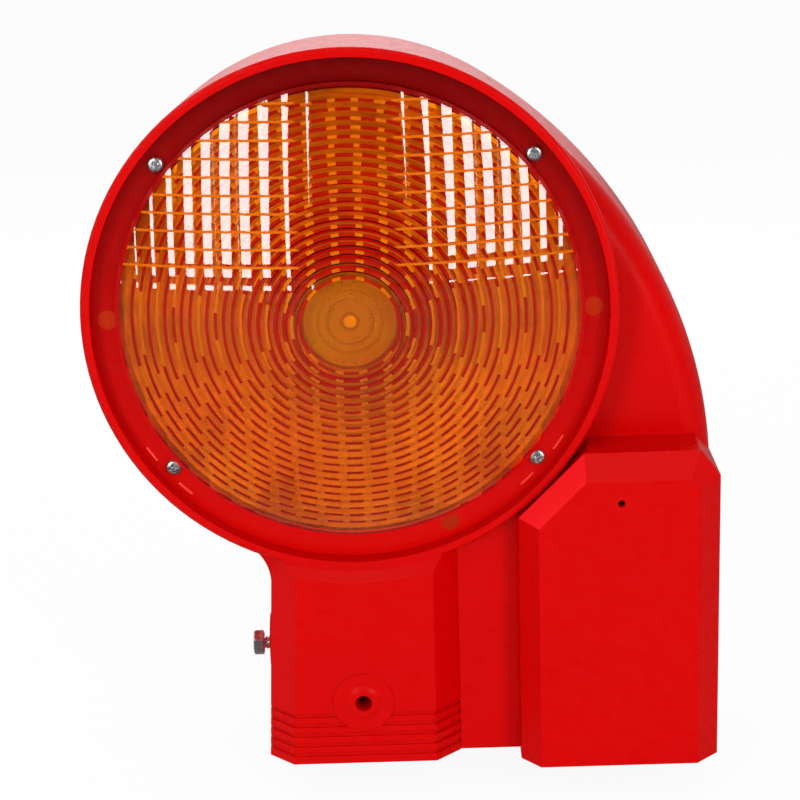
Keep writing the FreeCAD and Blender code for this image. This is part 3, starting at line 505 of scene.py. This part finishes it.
APEX_Y = -0.053
DOME_RADIUS = 0.095
DOME_RISE = 0.018
BALL = (DOME_RADIUS ** 2 + DOME_RISE ** 2) / (2 * DOME_RISE)
LENS_WALL = 0.003
LENS_SEGMENTS = 360
LENS_CREASE = 20.0
INNER_RADIUS = DOME_RADIUS - LENS_WALL
FLANGE_FRONT = -0.030
FLANGE_BACK = -0.027
FLANGE_RADIUS = 0.10495
EYE_RADIUS = 0.019
EYE_STEPS = 8
RING_PITCH = 0.0034
RING_STEP = 0.0008
RING_BULGE = 0.0003
RING_PARTS = 6
RING_COUNT = int((INNER_RADIUS - EYE_RADIUS) / RING_PITCH)
RING_STARTS = [EYE_RADIUS + RING_PITCH * index for index in reversed(range(RING_COUNT))]
RISER_SHARE = 0.35
RISERS = [(start, start + RING_PITCH * RISER_SHARE) for start in RING_STARTS]
COLUMN_BALL = 0.128
COLUMN_ANGLE = math.radians(4.34)
COLUMN_BULGE = 0.000285
COLUMN_LINES = (-0.5, -0.49, -0.39, -0.29, -0.1, 0.1, 0.29, 0.39, 0.49)
COLUMNS_ASIDE = 12
SHADE_DASH_HALF = 0.33
SEAM_START = 0.43
ROW_HEIGHT = 0.0070
ROW_BULGE = 0.0000955
ROW_LINES = (-0.5, -SEAM_START, -0.29, -0.1, 0.1, 0.29, SEAM_START)
ROWS_ASIDE = 15
GRID_INSET = 0.0004
EDGE_WIDTH = 0.0014
SCREW_CIRCLE = 0.0985
SCREW_ANGLE = math.radians(40.14)
SCREW_WAY = 0.0023
LENS_SCREW_SPOTS = [
    (side * SCREW_CIRCLE * math.cos(SCREW_ANGLE), level * SCREW_CIRCLE * math.sin(SCREW_ANGLE))
    for side in (-1, 1) for level in (-1, 1)]
PEG_RADIUS = 0.004
PEG_TIP = -0.0205
PEG_CIRCLE = 0.09875
PEG_SPOTS = around(PEG_CIRCLE, (0.0, 180.0, 293.0))
HOLE_SEGMENTS = 32
DOME_MARGIN = 0.0004
WALL_MARGIN = 0.0003
LEVEL_MARGIN = 0.0001
RIM_MARGIN = 0.001
# Opaque lens finishes: seams painted the lit amber's colour, riser dashes of painted shade, riser gaps of
# painted light; the flange's red has painted shade
LENS_EXTRAS = ("seam_painted_lit_amber", "riser_painted_shade", "amber_flange_painted_shade", "amber_peg", "riser_gap_painted_light")
CLEAR, LIT_SEAM, SHADE_DASH, FLANGE, PEG, LIGHT_GAP = range(len(LENS_EXTRAS) + 1)


def dome_y(radius, wall=0.0):
    """Y of the dome's face, or of a face a wall behind it, at a distance from the axis."""
    return APEX_Y + BALL - math.sqrt((BALL - wall) ** 2 - radius ** 2)


def from_cell_middle(place):
    return place - math.floor(place + 0.5)


def across_column(x):
    """Where in its column of pillows a place across the front lies, from -0.5 to 0.5."""
    return from_cell_middle(math.asin(x / COLUMN_BALL) / COLUMN_ANGLE)


def pillow_drop(x, z):
    """How far the front lies behind the crests of its pillows; the eye in the middle is plain."""
    up = from_cell_middle(z / ROW_HEIGHT)
    share = min(max((math.hypot(x, z) - EYE_RADIUS) / RING_PITCH, 0.0), 1.0)
    return share * (COLUMN_BULGE * (2 * across_column(x)) ** 2 + ROW_BULGE * (2 * up) ** 2)


def on_row_seam(x, z):
    """Is a spot of the front's upper half on the narrow dull seam between two rows of pillows?"""
    return abs(from_cell_middle(z / ROW_HEIGHT)) > SEAM_START and z > EYE_RADIUS and abs(x) > EYE_RADIUS


def cell_lines(count, lines):
    """Positions in cells from the middle, closer together along the cells' borders."""
    return [cell + part for cell in range(-count, count + 1) for part in lines]


def lens_front(shell, rim):
    """The dome's pillows, and its edge down to the flange."""
    columns = [COLUMN_BALL * math.sin(COLUMN_ANGLE * line)
               for line in cell_lines(COLUMNS_ASIDE, COLUMN_LINES)]
    rows = [ROW_HEIGHT * line for line in cell_lines(ROWS_ASIDE, ROW_LINES)]
    grid = [(x, z) for x in columns for z in rows if math.hypot(x, z) < DOME_RADIUS - GRID_INSET]
    flat, faces = fill_flat([rim, circle(DOME_RADIUS - EDGE_WIDTH, LENS_SEGMENTS)], grid)
    front = [(x, dome_y(min(math.hypot(x, z), DOME_RADIUS)) + pillow_drop(x, z), AXIS_HEIGHT + z)
             for x, z in flat]
    shell.patch(front, faces)
    edge = [(x, dome_y(DOME_RADIUS) + pillow_drop(x, z), AXIS_HEIGHT + z) for x, z in rim]
    shell.band(edge, on_axis(rim, FLANGE_FRONT))


def lens_flange(shell, rim):
    """The flat flange with its screw ways and locating pegs."""
    outer = circle(FLANGE_RADIUS, LENS_SEGMENTS)
    inner = circle(INNER_RADIUS, LENS_SEGMENTS)
    ways = [circle(SCREW_WAY, HOLE_SEGMENTS, spot) for spot in LENS_SCREW_SPOTS]
    pegs = [circle(PEG_RADIUS, HOLE_SEGMENTS, spot) for spot in PEG_SPOTS]
    open_ways = [(spot, SCREW_WAY) for spot in LENS_SCREW_SPOTS]
    open_pegs = [(spot, PEG_RADIUS) for spot in PEG_SPOTS]
    centre = (0.0, 0.0)
    front_open = in_circles([(centre, DOME_RADIUS)] + open_ways)
    flat, faces = fill_flat([outer, rim] + ways + pegs, [], front_open)
    shell.patch(on_axis(flat, FLANGE_FRONT), faces)
    back_open = in_circles([(centre, INNER_RADIUS)] + open_ways + open_pegs)
    flat, faces = fill_flat([outer, inner] + ways + pegs, [], back_open)
    shell.patch(on_axis(flat, FLANGE_BACK), faces)
    for loop in [outer] + ways:
        shell.band(on_axis(loop, FLANGE_FRONT), on_axis(loop, FLANGE_BACK))
    for peg in pegs:
        shell.band(on_axis(peg, FLANGE_BACK), on_axis(peg, PEG_TIP))
        shell.cap(on_axis(peg, PEG_TIP))


def lens_back():
    """Radius and depth along the lens's inside, from the flange over the stepped rings to the eye."""
    profile = [(INNER_RADIUS, FLANGE_BACK), (INNER_RADIUS, dome_y(INNER_RADIUS, LENS_WALL))]
    for start in RING_STARTS:
        for part in reversed(range(RING_PARTS + 1)):
            share = part / RING_PARTS
            radius = start + RING_PITCH * (RISER_SHARE + (1 - RISER_SHARE) * share)
            swell = RING_STEP * (1 - share) + RING_BULGE * 4 * share * (1 - share)
            profile.append((radius, dome_y(radius, LENS_WALL) + swell))
    for index in reversed(range(1, EYE_STEPS + 1)):
        radius = EYE_RADIUS * index / EYE_STEPS
        profile.append((radius, dome_y(radius, LENS_WALL)))
    return profile


def lens_finish(face):
    """Which finish one face of the lens has.

    The dome is clear with dull row seams, painted the lit amber's colour. The rings' risers have dashes of
    painted shade and gaps of painted light, because the photo's rings break up. The dome's outermost strip,
    its wall and the flange are red with painted shade that darkens towards the top, apart from the pegs.
    """
    x, y, z = face.center.x, face.center.y, face.center.z - AXIS_HEIGHT
    radius = math.hypot(x, z)
    if y < FLANGE_FRONT - DOME_MARGIN and face.normal.y < -0.5 and radius < DOME_RADIUS:
        if radius > DOME_RADIUS - EDGE_WIDTH:
            return FLANGE
        # Row seams are opaque, painted the lit amber's colour
        return LIT_SEAM if on_row_seam(x, z) else CLEAR
    # Risers: painted shade in dashes across each column's middle, painted light in the gaps between
    if any(low < radius < high for low, high in RISERS) and y < FLANGE_FRONT:
        return SHADE_DASH if abs(across_column(x)) < SHADE_DASH_HALF else LIGHT_GAP
    if abs(radius - DOME_RADIUS) < WALL_MARGIN and y < FLANGE_FRONT:
        return FLANGE
    if abs(y - FLANGE_FRONT) < LEVEL_MARGIN and radius > DOME_RADIUS - RIM_MARGIN:
        return PEG if any(math.dist((x, z), spot) < PEG_RADIUS for spot in PEG_SPOTS) else FLANGE
    return CLEAR


def make_lens():
    shell = Shell()
    rim = circle(DOME_RADIUS, LENS_SEGMENTS)
    lens_front(shell, rim)
    lens_flange(shell, rim)
    rows = [on_axis(circle(radius, LENS_SEGMENTS), y) for radius, y in lens_back()]
    shell.loft(rows)
    shell.cap(rows[-1])
    lens = shell.finish("lens_pillowed", finishes["amber_lens"], "housing", "amber_lens", LENS_CREASE)
    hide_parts("front_lens")
    for extra in LENS_EXTRAS:
        lens.data.materials.append(finishes[extra])
    for face in lens.data.polygons:
        face.material_index = lens_finish(face)


make_lens()


# Short guide ribs on the flange, on both sides of each lower screw

RIB_OFFSETS = (-5.7, 5.7)
RIB_CIRCLE = 0.102
RIB_SPAN = 4.2
RIB_STEPS = 8
RIB_SECTION = (
    (-0.0006, 0.0001), (-0.0006, -0.0003), (-0.0003, -0.0006), (0.0003, -0.0006), (0.0006, -0.0003),
    (0.0006, 0.0001))


def make_ribs():
    shell = Shell()
    lower = -math.degrees(SCREW_ANGLE)
    for middle in [screw + offset for screw in (lower, -180.0 - lower) for offset in RIB_OFFSETS]:
        rows = []
        for step in range(RIB_STEPS + 1):
            angle = math.radians(middle + RIB_SPAN * (step / RIB_STEPS - 0.5))
            rows.append([((RIB_CIRCLE + out) * math.cos(angle), FLANGE_FRONT + y,
                          AXIS_HEIGHT + (RIB_CIRCLE + out) * math.sin(angle)) for out, y in RIB_SECTION])
        shell.rod(rows)
    # The ribs' red, paler than the flange's, is partly a painted highlight
    shell.finish("flange_ribs", finishes["rib_red_painted_highlight"], "housing", "amber_lens")


make_ribs()


# Optic over the light source: a frosted cup with a pip and two raised rings on its face

OPTIC_FACE = -0.0425
OPTIC_PROFILE = (
    (0.0012, -0.0009), (0.0026, -0.0003), (0.0030, 0.0), (0.0040, 0.0), (0.0088, -0.0002),
    (0.0089, -0.0009), (0.0093, -0.0009), (0.0096, -0.0003), (0.0122, -0.0004), (0.0123, -0.0010),
    (0.0129, -0.0010), (0.0132, -0.0004), (0.0184, -0.0004), (0.0196, 0.0006), (0.0196, 0.0040),
    (0.0180, 0.0048), (0.0060, 0.0370))
OPTIC_FACE_DEPTH = 0.001
OPTIC_PIP = 0.0025
# Rings of the optic's face painted darker: painted shade along its ridges and round the pip
OPTIC_SHADE_RINGS = (
    (0.0027, 0.0041), (0.0085, 0.0089), (0.0093, 0.0097), (0.0121, 0.0123), (0.0129, 0.0133),
    (0.0185, 0.0195))
OPTIC_EXTRAS = ("optic_painted_shade", "optic_pip")
SHADE_FINISH, PIP_FINISH = 1, 2
BARREL_PROFILE = (
    (0.0192, -0.0385), (0.0204, -0.0385), (0.0210, -0.0379), (0.0210, -0.0345), (0.0202, -0.0337),
    (0.0206, -0.0200), (0.0219, -0.0190), (0.0219, -0.0155), (0.0188, -0.0155))
OPTIC_SEGMENTS = 96


def from_axis(place):
    """A place's distance from the lens's axis."""
    return math.hypot(place.x, place.z - AXIS_HEIGHT)


def make_optic():
    shell = Shell()
    shell.rod([on_axis(circle(radius, OPTIC_SEGMENTS), OPTIC_FACE + y) for radius, y in OPTIC_PROFILE])
    optic = shell.finish("optic_ringed", finishes["clear_optic"], "housing", "clear_optic")
    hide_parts("collimator_lens")
    for extra in OPTIC_EXTRAS:
        optic.data.materials.append(finishes[extra])
    for face in optic.data.polygons:
        innermost = min(from_axis(optic.data.vertices[index].co) for index in face.vertices)
        if face.center.y < OPTIC_FACE + OPTIC_FACE_DEPTH and innermost < OPTIC_PIP:
            face.material_index = PIP_FINISH
        # Painted shade on the ring faces
        elif any(low < from_axis(face.center) < high for low, high in OPTIC_SHADE_RINGS):
            face.material_index = SHADE_FINISH


def make_barrel():
    """The red tube of the light source's holder, which carries the optic close behind the lens."""
    shell = Shell()
    rows = [on_axis(circle(radius, OPTIC_SEGMENTS), y) for radius, y in BARREL_PROFILE]
    shell.loft(rows + rows[:1])
    shell.finish("led_holder_barrel", finishes["holder_red"], "housing", "holder_red")


make_optic()
make_barrel()


# Corner fillets of the housing's back beside the round rear cover, and closed ends of the foot's grooves

REAR_FACE = 0.03598
FILLET_START = 0.016
REAR_FILLETS = [
    ((0.0674, 0.1075), (0.0737, 0.1138), (0.0674, 0.1138)),
    ((0.0246, 0.0939), (0.0306, 0.0939), (0.0306, 0.0957)),
    ((-0.0366, 0.0939), (-0.0286, 0.0939), (-0.0366, 0.0966))]
SLOT_LEFT = 0.0404
SLOT_RIGHT = 0.0410
SLOT_LOW = 0.0034
SLOT_HIGH = 0.0052
SLOT_PITCH = 0.0045
SLOT_COUNT = 5


def make_rear_fillets():
    shell = Shell()
    slots = []
    for rise in [SLOT_PITCH * index for index in range(SLOT_COUNT)]:
        low, high = SLOT_LOW + rise, SLOT_HIGH + rise
        slots.append(((SLOT_LEFT, low), (SLOT_RIGHT, low), (SLOT_RIGHT, high), (SLOT_LEFT, high)))
    for corners in REAR_FILLETS + slots:
        shell.rod([[(x, y, z) for x, z in corners] for y in (FILLET_START, REAR_FACE)])
    shell.finish("rear_fillets", finishes["housing_red"], "housing", "housing_red")


make_rear_fillets()


# Screws with cross recesses

ScrewSize = namedtuple("ScrewSize", "head rise shank length")
LENS_SCREW = ScrewSize(head=0.00345, rise=0.0024, shank=0.0019, length=0.0148)
REAR_SCREW = ScrewSize(head=0.0032, rise=0.0024, shank=0.0019, length=0.0088)
REAR_SCREW_CIRCLE = 0.094
REAR_SCREW_SPOTS = around(REAR_SCREW_CIRCLE, (45, 135, 225, 315))
SCREW_SEGMENTS = 32
TIP_SHARE = 0.3
CROWN_SHARE = 0.62
HEAD_PROFILE = ((0.97, 0.0), (1.0, 0.12), (1.0, 0.45), (0.95, 0.66), (0.82, 0.88), (CROWN_SHARE, 1.0))
RECESS_REACH = 0.56
RECESS_WIDTH = 0.17
RECESS_FLOOR = 0.2
RECESS_FLOOR_REACH = 0.62
RECESS_FLOOR_WIDTH = 0.75
RECESS_TURNS = (12.0, 47.0, 71.0, 33.0)


def cross_outline(reach, half_width, turn):
    """Twelve corners of a cross, turned about its middle."""
    corners = [(reach, -half_width), (reach, half_width), (half_width, half_width),
               (half_width, reach), (-half_width, reach), (-half_width, half_width),
               (-reach, half_width), (-reach, -half_width), (-half_width, -half_width),
               (-half_width, -reach), (half_width, -reach), (half_width, -half_width)]
    angle = math.radians(turn)
    return [(x * math.cos(angle) - z * math.sin(angle), x * math.sin(angle) + z * math.cos(angle))
            for x, z in corners]


def in_cross(reach, half_width, turn):
    """A test for points inside a cross."""
    angle = math.radians(turn)

    def test(point):
        x = abs(point[0] * math.cos(angle) + point[1] * math.sin(angle))
        z = abs(point[1] * math.cos(angle) - point[0] * math.sin(angle))
        return min(x, z) < half_width and max(x, z) < reach
    return test


def add_screw(shell, size, spot, seat, outward, turn):
    """A pan head screw along Y: the head stands outward of its seat and the shank runs the other way."""
    def level(flat, height):
        return [(spot[0] + x, seat + outward * height, spot[1] + z) for x, z in flat]

    def row(radius, height):
        return level(circle(radius, SCREW_SEGMENTS), height)
    rows = [row(size.shank * TIP_SHARE, -size.length), row(size.shank, size.shank - size.length),
            row(size.shank, 0.0)]
    rows += [row(out * size.head, up * size.rise) for out, up in HEAD_PROFILE]
    shell.cap(rows[0])
    shell.loft(rows)
    reach, half_width = RECESS_REACH * size.head, RECESS_WIDTH * size.head
    mouth = cross_outline(reach, half_width, turn)
    crown = circle(CROWN_SHARE * size.head, SCREW_SEGMENTS)
    flat, faces = fill_flat([crown, mouth], [], in_cross(reach, half_width, turn))
    shell.patch(level(flat, size.rise), faces)
    floor = cross_outline(RECESS_FLOOR_REACH * reach, RECESS_FLOOR_WIDTH * half_width, turn)
    floor_row = level(floor, RECESS_FLOOR * size.rise)
    shell.band(level(mouth, size.rise), floor_row)
    shell.cap(floor_row)


def make_screws(node, size, spots, seat, outward):
    """Screws at spots of the lens plane."""
    shell = Shell()
    for index, (x, z) in enumerate(spots):
        turn = RECESS_TURNS[index % len(RECESS_TURNS)]
        add_screw(shell, size, (x, AXIS_HEIGHT + z), seat, outward, turn)
    screws = shell.finish(node + "_crossed", finishes["zinc_steel"], "housing", "zinc_steel")
    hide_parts(node)


make_screws("lens_screws", LENS_SCREW, LENS_SCREW_SPOTS, FLANGE_FRONT, -1)
make_screws("rear_cover_screws", REAR_SCREW, REAR_SCREW_SPOTS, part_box("rear_cover")[1][1], 1)


# Clamp bolt with its thread

BOLT_HEIGHT = 0.039
BOLT_FLATS = 0.010
BOLT_HEAD_RISE = 0.0045
BOLT_RADIUS = 0.003
BOLT_TIP = 0.6 * BOLT_RADIUS
BOLT_SEGMENTS = 72
DISH_DEPTH = 0.0003
DISH_FLOOR = 0.36 * BOLT_FLATS
DISH_EDGE = 0.40 * BOLT_FLATS
CROWN = 0.46 * BOLT_FLATS
CHAMFER = math.radians(30)
WASHER_RISE = 0.0003
WASHER_ROOT = 0.47 * BOLT_FLATS
WASHER_FACE = 0.46 * BOLT_FLATS
THREAD_PITCH = 0.001
THREAD_DEPTH = 0.00054
THREAD_START = 0.3
THREAD_STEPS = 6


def hexagon_radius(angle):
    sector = math.pi / 3
    return BOLT_FLATS / 2 / math.cos((angle + sector / 2) % sector - sector / 2)


def make_bolt():
    """Hex bolt along X with a chamfered head, a washer face and a rolled thread."""
    low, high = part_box("clamp_bolt")
    head_end = low[0]
    head_seat = head_end + BOLT_HEAD_RISE
    flats_end = head_seat - WASHER_RISE
    angles = [TURN * index / BOLT_SEGMENTS for index in range(BOLT_SEGMENTS)]

    def row(places):
        return [(x, radius * math.cos(angle), BOLT_HEIGHT + radius * math.sin(angle))
                for angle, (x, radius) in zip(angles, places)]

    def ring(x, radius):
        return row([(x, radius)] * BOLT_SEGMENTS)
    chamfer = [(head_end + (hexagon_radius(angle) - CROWN) * math.tan(CHAMFER), hexagon_radius(angle))
               for angle in angles]
    rows = [ring(head_end + DISH_DEPTH, DISH_FLOOR),
            ring(head_end, DISH_EDGE),
            ring(head_end, CROWN),
            row(chamfer),
            row([(flats_end, hexagon_radius(angle)) for angle in angles]),
            ring(flats_end, WASHER_ROOT),
            ring(head_seat, WASHER_FACE),
            ring(head_seat, BOLT_RADIUS - THREAD_DEPTH)]
    count = int((high[0] - head_seat - 2 * THREAD_PITCH) / THREAD_PITCH * THREAD_STEPS)
    for index in range(count):
        turns = index / THREAD_STEPS
        ease = min(turns, 1.0, (count - 1 - index) / THREAD_STEPS)
        x = head_seat + THREAD_PITCH * (THREAD_START + turns)
        places = []
        for angle in angles:
            phase = (turns - angle / TURN) % 1.0
            tooth = ease * (1 - abs(2 * phase - 1))
            places.append((x, BOLT_RADIUS - THREAD_DEPTH * (1 - tooth)))
        rows.append(row(places))
    rows.append(ring(high[0], BOLT_TIP))
    shell = Shell()
    shell.rod(rows)
    bolt = shell.finish("clamp_bolt_threaded", finishes["zinc_steel"], "bolt", "zinc_steel")
    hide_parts("clamp_bolt")


make_bolt()


# Stage: camera, world, white sweep and five lamps

CAMERA_PLACE = (0.0191, -0.9141, 0.4276)
CAMERA_DOWN = math.radians(16.99)
CAMERA_ROLL = math.radians(1.68)
CAMERA_LENS = 101.2
CAMERA_SENSOR = 36.0
FILL_STRENGTH = 0.56
ROOM_GREY = (0.015, 0.015, 0.015)
ROOM_EDGE = (-0.45, 0.05)
FLOOR_HEIGHT = -0.0152
FLOOR_REACH = 4.0
FLOOR_GREY = (0.86, 0.86, 0.86, 1.0)
FLOOR_ROUGHNESS = 0.8
DIM_FRONT = (0.015, 0.015, 0.015)
DIM_BACK = (0.2, 0.2, 0.2)
DIM_EDGE = (-0.14, -0.03)
SHOWN_SHARE = 0.93
LAMP_TARGET = (0.0, -0.05, AXIS_HEIGHT)
FRONT_SIZE = (0.345, 1.05)
BACK_SIZE = (1.6, 0.7)
SIDE_SIZE = (0.6, 0.6)
OVERHEAD_SIZE = (0.8, 0.8)


def make_camera():
    data = bpy.data.cameras.new("camera")
    data.lens = CAMERA_LENS
    data.sensor_width = CAMERA_SENSOR
    camera = bpy.data.objects.new("camera", data)
    forward = Vector((0.0, math.cos(CAMERA_DOWN), -math.sin(CAMERA_DOWN)))
    up = Vector((0.0, math.sin(CAMERA_DOWN), math.cos(CAMERA_DOWN)))
    right = Vector((1.0, 0.0, 0.0))
    across = math.cos(CAMERA_ROLL) * right - math.sin(CAMERA_ROLL) * up
    upward = math.sin(CAMERA_ROLL) * right + math.cos(CAMERA_ROLL) * up
    turn = Matrix((across, upward, -forward)).transposed().to_4x4()
    camera.matrix_world = Matrix.Translation(CAMERA_PLACE) @ turn
    scene.collection.objects.link(camera)
    scene.camera = camera


def softbox(name, azimuth, elevation, distance, size, radiance):
    """A rectangular lamp aimed at the lens, placed by its direction from there in degrees."""
    data = bpy.data.lights.new(name, "AREA")
    data.shape = "RECTANGLE"
    data.size, data.size_y = size
    data.energy = radiance * math.pi * size[0] * size[1]
    lamp = bpy.data.objects.new(name, data)
    turn, tilt = math.radians(azimuth), math.radians(elevation)
    level = math.cos(tilt)
    away = Vector((level * math.sin(turn), -level * math.cos(turn), math.sin(tilt)))
    lamp.location = Vector(LAMP_TARGET) + distance * away
    lamp.rotation_euler = (-away).to_track_quat("-Z", "Y").to_euler()
    scene.collection.objects.link(lamp)


def camera_ray(tree):
    return tree.nodes.new("ShaderNodeLightPath").outputs["Is Camera Ray"]


def seen_directly(tree):
    """1 for camera, mirror and see-through rays, and 0 for the rays that light surfaces."""
    rays = tree.nodes.new("ShaderNodeLightPath").outputs
    mirrored = larger(tree, rays["Is Camera Ray"], rays["Is Glossy Ray"])
    return larger(tree, mirrored, rays["Is Transmission Ray"])


def make_world():
    """White to the camera and behind the object; mirrors see a dimmer room on the front side."""
    world = bpy.data.worlds.new("studio")
    scene.world = world
    world.use_nodes = True
    tree = world.node_tree
    shown = tree.nodes["Background"]
    direction = tree.nodes.new("ShaderNodeTexCoord").outputs["Generated"]
    behind = rescale(tree, coordinate(tree, direction, "Y"), *ROOM_EDGE)
    sweep = ramp(tree, larger(tree, behind, camera_ray(tree)), [(0.0, ROOM_GREY), (1.0, WHITE)])
    tree.links.new(sweep, shown.inputs["Color"])
    lighting = tree.nodes.new("ShaderNodeBackground")
    lighting.inputs["Color"].default_value = (*WHITE, 1.0)
    lighting.inputs["Strength"].default_value = FILL_STRENGTH
    surface = mix_shaders(tree, seen_directly(tree), lighting.outputs["Background"],
                          shown.outputs["Background"])
    tree.links.new(surface, tree.nodes["World Output"].inputs["Surface"])


def make_floor():
    """A white sweep, as low as the opened cover needs; dim in front to the surfaces that mirror it."""
    mesh = bpy.data.meshes.new("floor")
    corners = [(-FLOOR_REACH, -FLOOR_REACH), (FLOOR_REACH, -FLOOR_REACH),
               (FLOOR_REACH, FLOOR_REACH), (-FLOOR_REACH, FLOOR_REACH)]
    mesh.from_pydata([(x, y, FLOOR_HEIGHT) for x, y in corners], [], [(0, 1, 2, 3)])
    floor = bpy.data.objects.new("floor", mesh)
    scene.collection.objects.link(floor)
    material, tree, shader = material_nodes("white_floor")
    shader.inputs["Base Color"].default_value = FLOOR_GREY
    shader.inputs["Roughness"].default_value = FLOOR_ROUGHNESS
    back = rescale(tree, coordinate(tree, object_coordinates(tree), "Y"), *DIM_EDGE)
    mirrored = tree.nodes.new("ShaderNodeEmission")
    tree.links.new(ramp(tree, back, [(0.0, DIM_FRONT), (1.0, DIM_BACK)]), mirrored.inputs["Color"])
    white = tree.nodes.new("ShaderNodeEmission")
    shown = mix_shaders(tree, camera_ray(tree), mirrored.outputs["Emission"], white.outputs["Emission"])
    share = rescale(tree, seen_directly(tree), 0.0, 1.0, 0.0, SHOWN_SHARE)
    surface = mix_shaders(tree, share, shader.outputs["BSDF"], shown)
    tree.links.new(surface, tree.nodes["Material Output"].inputs["Surface"])
    dress(floor, material)


make_camera()
make_world()
make_floor()
softbox("softbox_left", azimuth=-28.0, elevation=14.6, distance=1.5, size=FRONT_SIZE, radiance=7.0)
softbox("back_panel", azimuth=180.0, elevation=24.0, distance=1.3, size=BACK_SIZE, radiance=1.4)
softbox("side_left", azimuth=-102.0, elevation=34.0, distance=1.3, size=SIDE_SIZE, radiance=2.6)
softbox("overhead", azimuth=0.0, elevation=72.0, distance=1.4, size=OVERHEAD_SIZE, radiance=1.6)
softbox("softbox_right", azimuth=31.0, elevation=16.9, distance=1.5, size=FRONT_SIZE, radiance=7.0)
